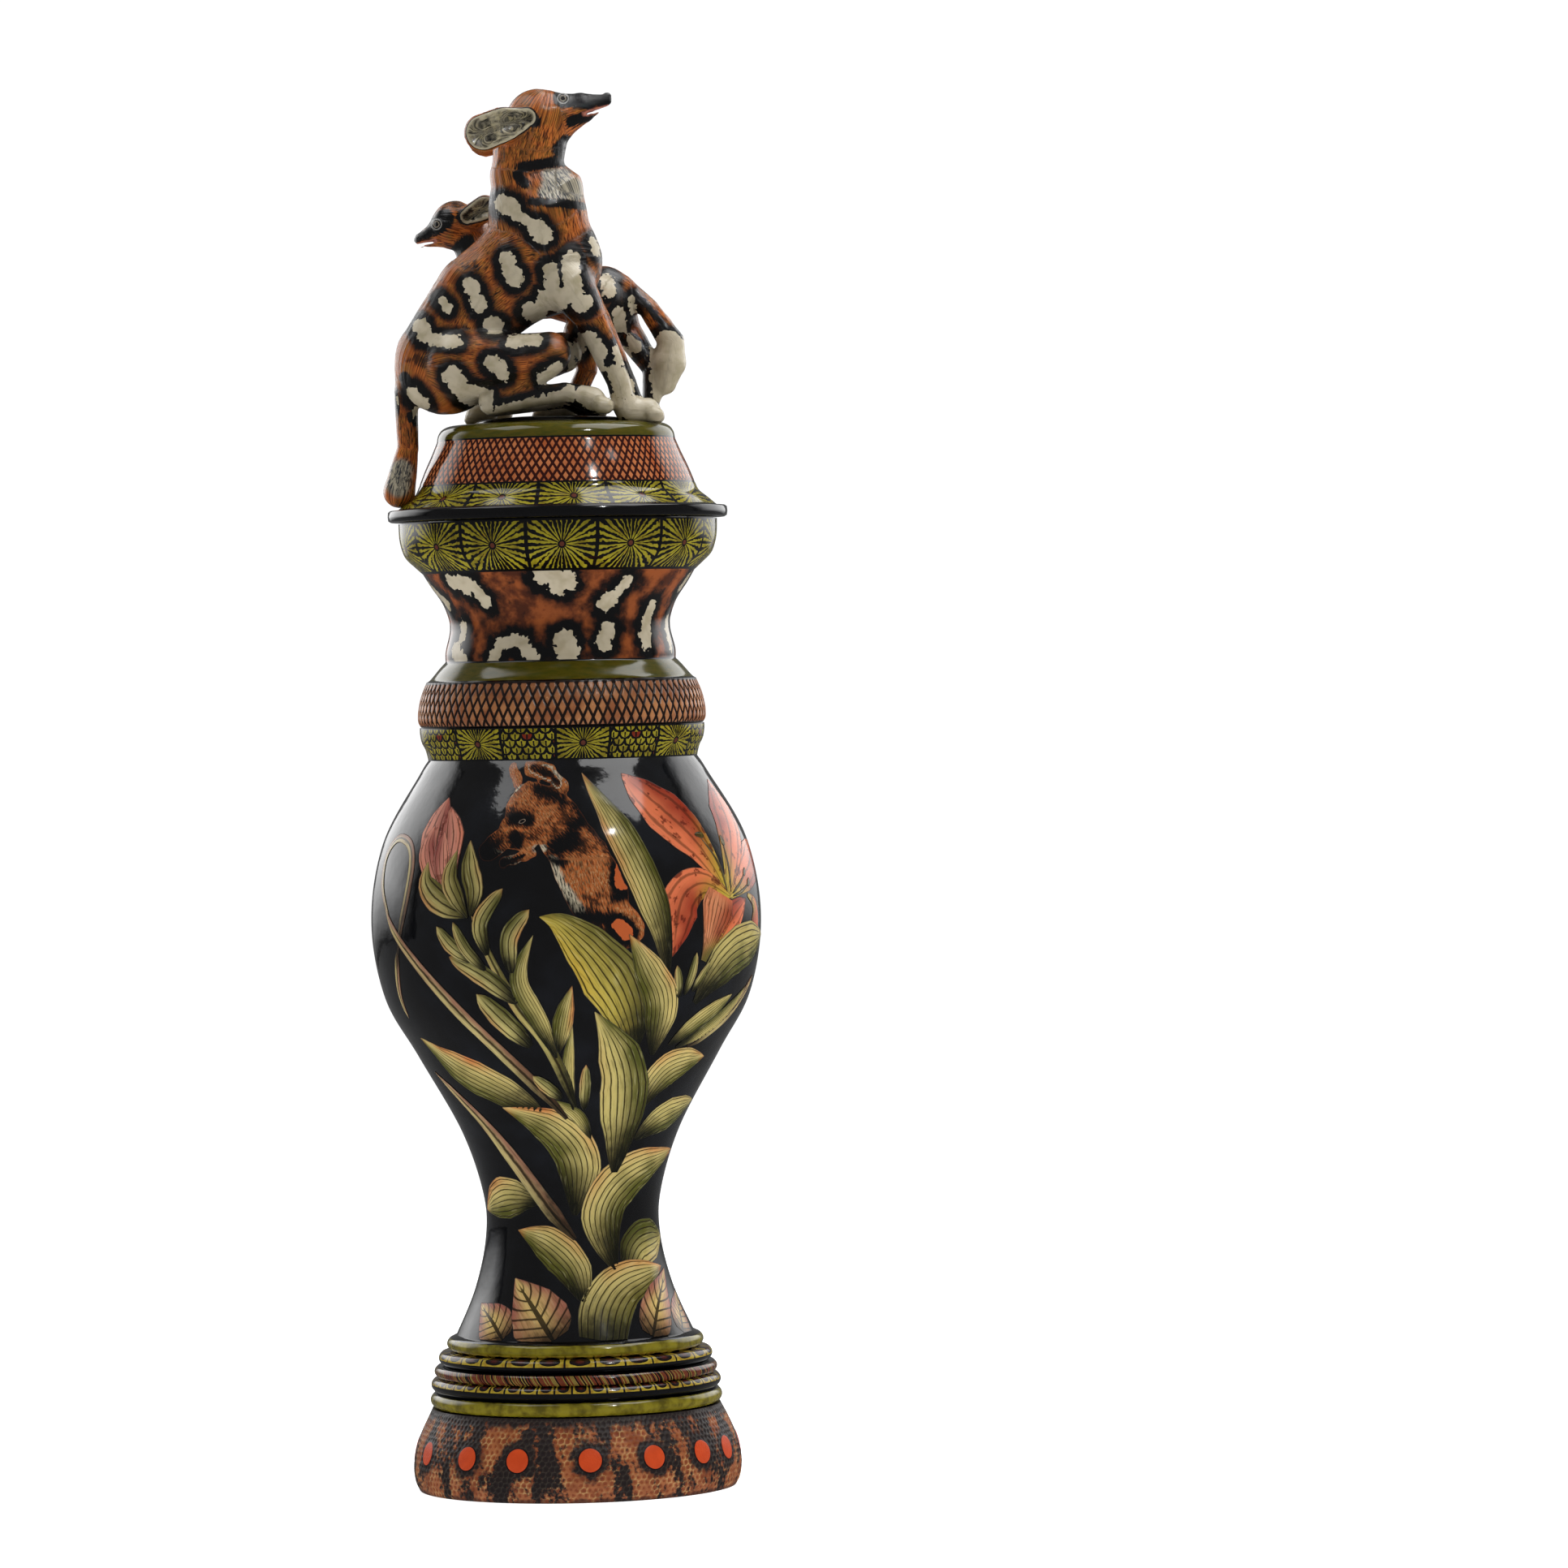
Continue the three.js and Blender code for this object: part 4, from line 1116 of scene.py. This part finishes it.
BLADES = [
    ("bladelet", 1, 6.5, [(-58, 365), (-55, 385), (-52.5, 405), (-52, 425), (-55, 438), (-61, 443),
                          (-66, 442), (-70, 435), (-71, 425), (-69, 410), (-64, 395), (-60, 383)]),
    ("bladelet", -1, 6, [(-58, 368), (-62, 340), (-62, 322)]),
    ("bladelet", 1, 10.5, [(0, 254), (-14, 280), (-25, 303), (-38, 335), (-49, 360), (-60, 383),
                           (-66, 400)]),
    ("bladelet", 1, 12, [(3, 172), (-15, 195), (-33, 225), (-50, 257), (-67, 285)]),
    ("bladelet", -1, 10, [(50, 300), (66, 318), (80, 345)]),
    ("plain", -1, 14, [(44, 300), (60, 316), (74, 338)]),
]
LOW_LEAVES = [
    ("feather", 1, 26, [(67, 106), (75, 119), (85, 132)]),
    ("feather", -1, 31, [(-36, 106), (-46, 117), (-62, 128)]),
    ("plain", -1, 33, [(36, 146), (50, 166), (84, 170)]),
    ("leaf", -1, 29, [(-19, 198), (-44, 200), (-76, 190)]),
    ("plain", 1, 26, [(38, 238), (54, 252), (82, 261)]),
    ("leaf", 1, 35, [(28, 150), (22, 188), (40, 214), (82, 228)]),
    ("leaf", -1, 28, [(7, 130), (1, 153), (-16, 170), (-37, 178)]),
    ("broad", 1, 36, [(15, 105), (20, 127), (35, 142), (70, 150)]),
    ("feather", -1, 43, [(-9, 106), (-20, 125), (-36, 146)]),
    ("feather", 1, 30, [(42, 106), (54, 126), (74, 148)]),
]
MID_LEAVES = [
    ("leaf", -1, 31, [(-11, 258), (-30, 275), (-48, 290), (-62, 309)]),
    ("leaf", -1, 33, [(3, 188), (6, 222), (-7, 247), (-31, 262)]),
    ("plain", 1, 10, [(12, 240), (5, 256), (-7, 268)]),
    ("leaf", 1, 30, [(37, 260), (40, 276), (47, 287), (65, 292)]),
    ("plain", -1, 9, [(3, 260), (1, 286), (3, 318)]),
    ("oval", 1, 8, [(8, 260), (8, 278), (8, 291)]),
    ("plain", 1, 36, [(28, 216), (28, 250), (23, 287), (10, 327)]),
    ("leaf", -1, 27, [(34, 296), (32, 332), (27, 352), (20, 378)]),
    ("plain", 1, 36, [(45, 330), (52, 349), (63, 364), (87, 372)]),
    ("plain", 1, 18, [(40, 302), (51, 318), (64, 334)]),
]
HIGH_LEAVES = [
    ("yellow", 1, 41, [(26, 300), (18, 338), (9, 366), (0, 386), (-6, 391)]),
    ("leaf", 1, 25, [(33, 350), (29, 390), (23, 428), (17, 457), (9, 485)]),
    ("oval", 1, 7, [(38, 334), (37, 346), (36, 356)]),
    ("oval", -1, 7, [(40, 336), (42, 350), (43, 364)]),
    ("oval", 1, 6, [(43, 338), (46, 348), (49, 357)]),
]
BUD = [
    ("stem", 1, 9, [(4, 262), (-6, 305), (-14, 330), (-20, 358), (-27, 394)]),
    ("oval", 1, 15, [(-14, 334), (-24, 352), (-35, 365)]),
    ("plain", -1, 15, [(-3, 296), (-8, 322), (-13, 350), (-8, 379)]),
    ("oval", 1, 17, [(-12, 304), (-21, 325), (-27, 340)]),
    ("oval", -1, 13, [(-15, 354), (-15, 378), (-9, 396)]),
    ("oval", 1, 12, [(-22, 366), (-24, 388), (-17, 410)]),
    ("oval", 1, 11, [(-27, 362), (-34, 372), (-39, 385)]),
    ("oval", 1, 9, [(-23, 356), (-29, 370), (-33, 388)]),
    ("leaf", -1, 14, [(-2, 300), (0, 322), (3, 345)]),
    ("oval", 1, 10, [(-2, 268), (-8, 276), (-13, 284)]),
    ("bud", 1, 27, [(-34, 402), (-41, 424), (-44, 446), (-44, 470)]),
    ("bud", -1, 22, [(-32, 400), (-36, 424), (-37, 444), (-41, 464)]),
    ("bud", 1, 17, [(-34, 400), (-42, 420), (-46, 438), (-45, 452)]),
    ("bud", -1, 14, [(-32, 400), (-37, 416), (-39, 432), (-40, 448)]),
    ("sepal", 1, 20, [(-28, 392), (-38, 402), (-44, 414), (-44, 428)]),
    ("sepal", -1, 15, [(-27, 392), (-26, 408), (-28, 424), (-29, 442)]),
    ("sepal", 1, 14, [(-28, 391), (-32, 404), (-35, 418), (-33, 436)]),
]
LILY = [
    ("petal", 1, 32, [(58, 400), (70, 414), (80, 424), (88, 436)]),
    ("petal", -1, 38, [(57, 402), (64, 430), (71, 456), (75, 478)]),
    ("petal", 1, 39, [(57, 402), (48, 434), (39, 456), (25, 484)]),
    ("petal", -1, 32, [(58, 400), (46, 410), (37, 398), (34, 362)]),
    ("petal", 1, 18, [(70, 400), (76, 392), (75, 374), (71, 352)]),
    ("petal", -1, 20, [(50, 364), (58, 384), (68, 398)]),
    ("trumpet", 1, 34, [(46, 358), (49, 376), (54, 402)]),
]
STAMENS = [
    ("stamen", 1, 2.0, [(57, 403), (55, 422), (49, 441)]),
    ("stamen", 1, 2.0, [(59, 403), (60, 420), (60, 437)]),
    ("stamen", 1, 2.0, [(60, 402), (65, 408), (70, 415)]),
    ("stamen", 1, 2.0, [(60, 400), (66, 403), (72, 408)]),
    ("stamen", 1, 4.4, [(51, 441), (49, 442), (47, 442)]),
    ("stamen", 1, 4.0, [(60.5, 434), (60, 438), (60, 441)]),
    ("stamen", 1, 3.6, [(69, 413), (70, 416), (71, 418)]),
    ("stamen", 1, 3.6, [(71, 406), (72, 409), (73, 411)]),
]


def belly_radius(height):
    return np.interp(height, BELLY_LINE[:, 1], BELLY_LINE[:, 0])


def on_belly(angle, height, lift):
    """Points on the belly, lifted off it by millimetres."""
    height = np.clip(height, BELLY[0][1] + 0.3, BELLY[-1][1] - 0.8)
    turn, radius = np.radians(angle), belly_radius(height) + lift
    return np.stack([radius * np.sin(turn), -radius * np.cos(turn), height], -1)


def thickened(top, bottom, faces):
    """A closed thin layer: its top, its underside, and the wall round its edge."""
    faces = np.asarray(faces)
    starts, ends = faces.ravel(), np.roll(faces, -1, 1).ravel()
    key = np.minimum(starts, ends) * len(top) + np.maximum(starts, ends)
    _, place, count = np.unique(key, return_inverse=True, return_counts=True)
    rim = count[place] == 1
    a, b = starts[rim], ends[rim]
    wall = np.stack([b, a, a + len(top), b + len(top)], -1)
    return np.concatenate([top, bottom]), np.concatenate([faces, faces[:, ::-1] + len(top), wall])


def grid_faces(rows, columns):
    index = np.arange(rows * columns).reshape(rows, columns)
    return np.stack([index[:-1, :-1], index[:-1, 1:], index[1:, 1:], index[1:, :-1]], -1).reshape(-1, 4)


def blend_colour(under, over, share):
    return under + (over - under) * np.clip(share, 0, 1)[..., None]


def linear(colour):
    return np.array(srgb(*colour)[:3])


def ripple_phase(spine):
    """A different start for the ripple along each ribbon's edges."""
    return spine[0][1] * 0.7 + spine[0][0]


def ribbon(kind, lit_side, width, spine, lift):
    """Points, faces and layers of one leaf, petal or stem."""
    shape, light, shade, base, warm, veins = KINDS[kind]
    line = catmull(spine, 8)
    radius = belly_radius(line[:, 1])
    slope = np.interp(line[:, 1], BELLY_LINE[:, 1], np.gradient(BELLY_LINE[:, 0], BELLY_LINE[:, 1]))
    stretch = np.hypot(1, slope)
    run = np.radians(np.gradient(line[:, 0])) * radius
    climb = np.gradient(line[:, 1]) * stretch
    length = np.concatenate([[0], np.cumsum(np.hypot(run, climb)[1:])])
    rows, columns = max(10, int(length[-1] / 3.6)), max(4, int(width / 4.5) * 2)
    share = np.linspace(0, 1, rows + 1)
    angle, height, radius, stretch, run, climb = (
        np.interp(share * length[-1], length, values)
        for values in (line[:, 0], line[:, 1], radius, stretch, run, climb))
    size = np.hypot(run, climb)
    half = width / 2 * np.interp(share, *shape)
    ripple = np.sin(share * length[-1] / 8 + width + ripple_phase(spine)) * smoothstep(width, 14, 20)
    half = half * (1 + RIPPLE * ripple)
    side = np.linspace(-1, 1, columns + 1)
    angles = angle[:, None] + np.degrees((-climb / size * half)[:, None] * side / radius[:, None])
    heights = height[:, None] + (run / size * half)[:, None] * side / stretch[:, None]
    along, across = np.meshgrid(share, side, indexing="ij")
    crown = (1 - across**2) * CROWN
    top = on_belly(angles, heights, lift + crown).reshape(-1, 3)
    bottom = on_belly(angles, heights, SUNK).reshape(-1, 3)
    points, faces = thickened(top, bottom, grid_faces(rows + 1, columns + 1)[:, ::-1])
    tilt = 0.6 - 1.4 * np.abs(across) if kind == "feather" else across * lit_side
    spots = top.reshape(*along.shape, 3)
    lit = smoothstep(tilt + 0.35 * lumps(spots, 9, 7), -0.9, 0.7)
    colour = blend_colour(linear(shade), linear(light), lit)
    colour = blend_colour(linear(base), colour, smoothstep(along + 0.12 * across * lit_side, 0.0, 0.46))
    outer = np.abs(across) if kind == "feather" else tilt
    edge = smoothstep(outer, 0.25, 0.95) * smoothstep(along, 0.25, 0.6)
    edge = np.maximum(edge, smoothstep(along, 0.9, 1.0) * 0.8)
    colour = blend_colour(colour, linear(warm), edge * (0.5 + 0.5 * lumps(spots, 16, 8)))
    if kind == "feather":
        vein = along * 7 - np.abs(across) * 1.5
    else:
        vein = across * veins / 2 + 0.5 * (veins % 2)
    layers = {
        "tint": colour,
        "vein": vein,
        "side": np.abs(across) if kind == "feather" else np.ones(across.shape),
        "rim": np.abs(across) * half[:, None] - half[:, None],
        "along": along,
        "grain": np.stack([across * half[:, None] / 1.3, along * length[-1] / 16,
                           0 * along + lift * 97], -1),
        "flesh": 0 * along + FLESH.get(kind, 0.0),
    }
    doubled = {name: np.concatenate([values.reshape(len(top), -1)] * 2).squeeze()
               for name, values in layers.items()}
    return points, faces, doubled


def joined(parts):
    """Several (points, faces, layers) as one."""
    offsets = np.cumsum([0] + [len(points) for points, _, _ in parts[:-1]])
    points = np.concatenate([points for points, _, _ in parts])
    faces = np.concatenate([faces + offset for (_, faces, _), offset in zip(parts, offsets)])
    names = parts[0][2]
    return points, faces, {name: np.concatenate([layers[name] for _, _, layers in parts]) for name in names}


def enamel_material():
    """Painted leaves and flowers: dark veins and outlines, fine brush grain, and sooty bases."""
    p = Paint("painted_enamel")
    grain = p.noise(1.0, 3, p.layer("grain", "Vector"))
    cloud = p.noise(7, 3) - 0.5
    tint = p.layer("tint", "Color")
    flesh = p.layer("flesh")
    green = p.mix(tint, srgb(60, 58, 26), 0.6)
    colour = p.mix(tint, green, p.smooth(grain, 0.5, 0.7) * (1.0 - flesh * 0.8) * 0.7)
    colour = p.mix(colour, srgb(216, 206, 150), p.smooth(grain, 0.46, 0.28) * (1.0 - flesh) * 0.3)
    freckles = p.smooth(cloud + grain * 0.3 + p.smooth(p.layer("rim"), -5.0, 0.0) * 0.1, 0.25, 0.33)
    colour = p.mix(colour, srgb(92, 28, 18), freckles * flesh * 0.8)
    vein = p.smooth(p.triangle(p.layer("vein") + cloud * 0.16), 0.16 + cloud * 0.14, 0.05)
    midrib = p.layer("side") < 0.09
    line = p.most(vein, midrib)
    line = line * p.smooth(p.layer("along"), 0.98, 0.8) * (0.92 - flesh * 0.35)
    colour = p.mix(colour, srgb(34, 24, 10), line)
    colour = p.mix(colour, srgb(34, 24, 12), p.smooth(p.layer("rim") + cloud * 0.6, -0.55, -0.15) * 0.75)
    soot = p.smooth(p.layer("along") + cloud * 0.3 + (grain - 0.5) * 0.45, 0.34, 0.04) * (1.0 - flesh)
    colour = p.mix(colour, srgb(14, 15, 9), soot * 0.85)
    roughness = p.smooth(p.layer("rim"), -0.7, -0.1) * 0.5 + 0.1
    return p.finish(colour, roughness, glaze_bump(p) + grain * 0.05, 0.4)


def painted(name, rows, lift, material):
    """One painted piece from rows of ribbons; each row lies a little over the row before it."""
    parts = [ribbon(*row, lift + ROW_STEP * number) for number, row in enumerate(rows)]
    points, faces, layers = joined(parts)
    return make_mesh(name, points, faces.tolist(), material, layers)


def behind(rows):
    """The same growth on the far side of the urn, mirrored left to right."""
    return [(kind, -side, width, [(TURN / 2 - angle, height) for angle, height in spine])
            for kind, side, width, spine in rows]


# The dog painted on the belly, in millimetres: across from the front, and up.
PORTRAIT_SCALE = 2.2  # millimetres across for each degree round the belly
PORTRAIT_TURN = 2.8  # how far its middle is from the front, in degrees
PORTRAIT = [(-29, 462, -14, 459, 18), (-41, 447, -55, 435.5, 7.6), (-44, 427, -25, 433, 3.4),
            (-38, 448, -30, 446, 12), (-8, 453, 7, 431, 18.4), (9, 426, 18, 404, 20.2),
            (20, 402, 35, 382, 13)]
PORTRAIT_EARS = [(-31, 489.5, -14, 485, 6.2), (-14, 485, -3, 476, 5), (-48, 489.5, -41, 480, 3.8)]
PORTRAIT_HOLLOW = [(-29, 490, -15, 485, 3.6), (-14, 485, -7, 478.5, 2.4)]
# The rest are strips that fade out over a width, the last number.
PORTRAIT_SOOT = [(-49, 460, -60, 444, 0.5, 3), (-40, 456, -28, 455, 3, 6), (-37, 443, -35, 440, 3.4, 6),
                 (-7, 437, 3, 442, 4.5, 10), (-61, 439, -59, 430, 2, 2.5), (-45, 426.5, -30, 431.5, 0.7, 1),
                 (-23, 475, -2, 467, 1.5, 9), (4, 450, 24, 462, 2, 11), (8, 464, 40, 424, 2, 10),
                 (30, 403, 42, 407, 2, 9), (-2, 392, 25, 388, 2.5, 9), (-13, 429, -4, 426, 1, 7)]
PORTRAIT_PALE = [(-47, 430, -36, 433.5, 0.4, 3), (-45, 424, -32, 427, 0.3, 1.6), (-22, 436, -17, 436, 1, 5),
                 (-11, 427, -7, 412, 2, 8), (-4, 409, 5, 395, 2, 8), (-55, 462, -36, 479, 0.4, 1.2),
                 (-52, 435, -40, 431, 0.4, 5), (-25, 492, -11, 489, 0.4, 1.3), (-9, 487, 1, 478, 0.4, 1.3)]
PORTRAIT_PATCHES = [(35, 421, 34, 412, 4.7), (31, 384, 36, 379, 4.6)]


def soft_strips(x, z, strips):
    """1 inside some strips (x0, z0, x1, z1, radius, fade), falling to 0 over their fades."""
    total = np.zeros(x.shape)
    for *strip, fade in strips:
        total = np.maximum(total, smoothstep(capsules_distance(x, z, [strip]), fade, -fade / 3))
    return total


def portrait_distance(x, z):
    head = capsules_distance(x, z, PORTRAIT)
    ragged = lumps(np.stack([x, z, 0 * x], -1), 4, 9) * 0.7
    return np.minimum(head, capsules_distance(x, z, PORTRAIT_EARS)) + ragged


def painted_area(distance, low, high, step):
    """Points and quads that fill the area where distance is negative, drawn out to its outline."""
    x, z = np.meshgrid(np.arange(low[0], high[0], step), np.arange(low[1], high[1], step), indexing="ij")
    value = distance(x, z)
    slope_x, slope_z = np.gradient(value, step)
    keep = value < step * 0.45
    cell = keep[:-1, :-1] & keep[1:, :-1] & keep[1:, 1:] & keep[:-1, 1:]
    uses = np.zeros(value.shape, int)
    for a, b in itertools.product((0, 1), repeat=2):
        uses[a:a + cell.shape[0], b:b + cell.shape[1]] += cell
    rim = (uses > 0) & (uses < 4)
    steep = np.maximum(slope_x**2 + slope_z**2, 0.3)
    x = x - np.where(rim, value * slope_x / steep, 0)
    z = z - np.where(rim, value * slope_z / steep, 0)
    number = np.full(value.shape, -1)
    number[uses > 0] = np.arange((uses > 0).sum())
    faces = np.stack([number[:-1, :-1], number[1:, :-1], number[1:, 1:], number[:-1, 1:]], -1)[cell]
    return x[uses > 0], z[uses > 0], faces


def portrait_material():
    """Short strokes of orange and black fur, with grey and cream where the coat is pale."""
    p = Paint("painted_portrait")
    flow = p.layer("fur", "Vector")
    strands, fine = p.noise(0.8, 3, flow), p.noise(0.4, 2, flow)
    fur = p.mix(srgb(184, 98, 48), srgb(104, 52, 26), p.smooth(strands, 0.38, 0.62))
    fur = p.mix(fur, srgb(214, 164, 108), p.smooth(fine, 0.47, 0.62) * 0.7)
    shadow = strands * 0.7 + fine * 0.3 + (p.noise(16, 3) - 0.5) * 1.2 + p.layer("soot") * 0.3
    fur = p.mix(fur, srgb(32, 17, 10), p.smooth(shadow, 0.5, 0.72) * 0.92)
    pale = p.mix(srgb(206, 194, 166), srgb(66, 62, 60), p.smooth(strands, 0.45, 0.62))
    fur = p.mix(fur, pale, p.smooth(p.layer("pale") + (strands - 0.5) * 0.9, 0.35, 0.7))
    soot = p.layer("soot") + (strands - 0.5) * 0.9
    colour = p.mix(fur, BLACK, p.smooth(soot, 0.2, 0.9))
    patch = p.layer("patch") + (p.noise(3, 3) - 0.5) * 4
    colour = p.mix(colour, BLACK, p.smooth(patch + (strands - 0.5) * 5, 5.0, 2.5))
    colour = p.mix(colour, srgb(196, 96, 50), patch < 0.0)
    eye = p.layer("eye")
    colour = p.mix(colour, p.mix(BLACK, srgb(128, 112, 98), p.between(eye, 2.0, 2.7)), eye < 2.9)
    outline = p.between(p.layer("rim"), -0.6, 0.5) * p.smooth(p.layer("soot"), 1.3, 0.1)
    colour = p.mix(colour, srgb(150, 84, 50), outline * 0.4)
    return p.finish(colour, 0.12, glaze_bump(p) + strands * 0.08, 0.4)


def portrait(name, turn, lift, material):
    """The painted dog, turned round the urn."""
    x, z, faces = painted_area(portrait_distance, (-62, 358), (60, 493), 1.25)
    fade = smoothstep(z + x * 0.8, 388, 420)
    hollow = capsules_distance(x, z, PORTRAIT_HOLLOW)
    ear_rim = smoothstep(np.abs(hollow - 0.6), 1.3, 0.3)
    lean = np.where(z > 428, 0.9, 0.25)
    layers = {
        "fur": np.stack([(x + z * lean) / 1.3, (z - x * lean) / 7, 0 * x], -1),
        "soot": np.maximum.reduce([soft_strips(x, z, PORTRAIT_SOOT), 1 - fade,
                                   smoothstep(hollow, 0.4, -1.6) * 0.75]),
        "pale": np.maximum(soft_strips(x, z, PORTRAIT_PALE), ear_rim * 0.8),
        "patch": capsules_distance(x, z, PORTRAIT_PATCHES),
        "eye": np.hypot(x + 33, (z - 454 - (x + 33) * 0.25) * 1.9),
        "rim": portrait_distance(x, z),
    }
    angle = turn + x / PORTRAIT_SCALE
    points, faces = thickened(on_belly(angle, z, lift), on_belly(angle, z, SUNK), faces)
    doubled = {key: np.concatenate([values, values]) for key, values in layers.items()}
    return make_mesh(name, points, faces.tolist(), material, doubled)


enamel = enamel_material()
fur_paint = portrait_material()
portrait("painted_dog", PORTRAIT_TURN, 0.12, fur_paint)
painted("painted_low_leaves", LOW_LEAVES, 0.15, enamel)
painted("painted_blades", BLADES, 0.35, enamel)
painted("painted_mid_leaves", MID_LEAVES, 0.2, enamel)
painted("painted_high_leaves", HIGH_LEAVES, 0.3, enamel)
painted("painted_bud", BUD, 0.4, enamel)
painted("painted_lily", LILY + STAMENS, 0.2, enamel)
painted("painted_back_leaves", behind(LOW_LEAVES + MID_LEAVES[:-2] + HIGH_LEAVES[:1]), 0.15, enamel)
painted("painted_back_flowers", behind(BLADES[2:4] + BUD), 0.45, enamel)


# ---------------------------------------------------------------- floor, lights and camera
def stage_material(name, colour, glow):
    p = Paint(name)
    shader = p.node("BsdfPrincipled")
    shader.inputs["Base Color"].default_value = colour
    shader.inputs["Roughness"].default_value = 0.9
    shader.inputs["Emission Color"].default_value = (1, 1, 1, 1)
    shader.inputs["Emission Strength"].default_value = glow
    out = p.node("OutputMaterial")
    p.tree.links.new(shader.outputs["BSDF"], out.inputs["Surface"])
    return p.material


def staged(name, points, faces, material):
    mesh = bpy.data.meshes.new(name)
    mesh.from_pydata(points, [], faces)
    mesh.shade_smooth()
    mesh.materials.append(material)
    thing = bpy.data.objects.new(name, mesh)
    bpy.context.scene.collection.objects.link(thing)
    return thing


def pale_floor():
    """A pale floor, and a wide bowl of the same white round it that lights nothing."""
    half, front, back = 4.0, -1.2, 3.0
    corners = [(-half, front, 0), (half, front, 0), (half, back, 0), (-half, back, 0)]
    white = stage_material("floor_finish", (0.75, 0.75, 0.75, 1.0), 0.8)
    floor = staged("floor", corners, [(0, 1, 2, 3)], white)
    floor.visible_glossy = False
    radius, bend, top, drop = 9.0, 1.5, 8.0, 0.003
    curve = np.linspace(0, math.pi / 2, 13)
    line = [(0.01, -drop)]
    line += [(radius - bend + bend * math.sin(a), bend - bend * math.cos(a) - drop) for a in curve]
    line.append((radius, top))
    segments = 96
    points = [(r * math.sin(math.tau * n / segments), -r * math.cos(math.tau * n / segments), z)
              for r, z in line for n in range(segments)]
    rows = [[row * segments + n for n in range(segments)] for row in range(len(line))]
    faces = [(below[n], below[(n + 1) % segments], above[(n + 1) % segments], above[n])
             for below, above in zip(rows, rows[1:]) for n in range(segments)]
    bowl = staged("surround", points, faces, stage_material("surround_finish", (0, 0, 0, 1.0), 1.05))
    bowl.visible_glossy = bowl.visible_diffuse = bowl.visible_shadow = bowl.visible_transmission = False


def wing(name, start, stop, glow):
    """A tall curved reflector beside the urn, brightest towards the back, from one bearing to another."""
    radius, low, high, steps, levels = 2.7, 0.1, 2.6, 24, 9
    share = np.linspace(0, 1, steps + 1)
    bearing = np.radians(start + (stop - start) * share)
    rows = [(radius * math.sin(turn), -radius * math.cos(turn)) for turn in bearing]
    points = [(x, y, z) for x, y in rows for z in np.linspace(low, high, levels)]
    faces = grid_faces(steps + 1, levels).tolist()
    height = np.tile(np.linspace(0, 1, levels), steps + 1)
    level = np.repeat(smoothstep(share, 0.0, 0.4), levels)
    level = level * smoothstep(height, 0, 0.3) * smoothstep(height, 1, 0.8)
    p = Paint(name + "_finish")
    shader = p.node("Emission")
    p.feed(shader.inputs["Strength"], p.layer("glow") * glow)
    out = p.node("OutputMaterial")
    p.tree.links.new(shader.outputs[0], out.inputs["Surface"])
    panel = staged(name, points, faces, p.material)
    panel.data.attributes.new("glow", "FLOAT", "POINT").data.foreach_set("value", level)
    panel.visible_camera = False


def softbox(name, place, target, width, height, power):
    light = bpy.data.lights.new(name, "AREA")
    light.shape = "RECTANGLE"
    light.size, light.size_y, light.energy = width, height, power
    lamp = bpy.data.objects.new(name, light)
    bpy.context.scene.collection.objects.link(lamp)
    lamp.location = place
    lamp.rotation_euler = (Vector(target) - Vector(place)).to_track_quat("-Z", "Y").to_euler()


pale_floor()
MIDDLE = (0, 0, (cad_low.z + cad_high.z) / 2)
wing("left_wing", -96, -160, 2.4)
wing("right_wing", 106, 160, 2.0)
softbox("overhead", (1.1, 0.1, 2.9), (0.4, 0, 0.6), 2.4, 1.5, 46)
softbox("overhead_left", (-1.1, -0.1, 2.9), (-0.3, 0, 0.6), 1.7, 1.2, 17)
softbox("key", (1.86, -2.38, 3.39), MIDDLE, 0.05, 0.05, 30)

world = bpy.data.worlds.new("studio")
world.use_nodes = True
world.node_tree.nodes["Background"].inputs["Color"].default_value = (1, 1, 1, 1)
world.node_tree.nodes["Background"].inputs["Strength"].default_value = 0.15
bpy.context.scene.world = world
bpy.context.scene.view_settings.view_transform = "Standard"

CAMERA_PLACE = (0.1494, -5.08, 0.5635)
CAMERA_PITCH = math.radians(-1.02)
CAMERA_ROLL = math.radians(1.2)
camera_data = bpy.data.cameras.new("camera")
camera_data.sensor_width = 36.0
camera_data.lens = 172.2
camera = bpy.data.objects.new("camera", camera_data)
bpy.context.scene.collection.objects.link(camera)
camera.matrix_world = (Matrix.Translation(CAMERA_PLACE)
                       @ Matrix.Rotation(math.pi / 2 + CAMERA_PITCH, 4, "X")
                       @ Matrix.Rotation(-CAMERA_ROLL, 4, "Z"))
bpy.context.scene.camera = camera
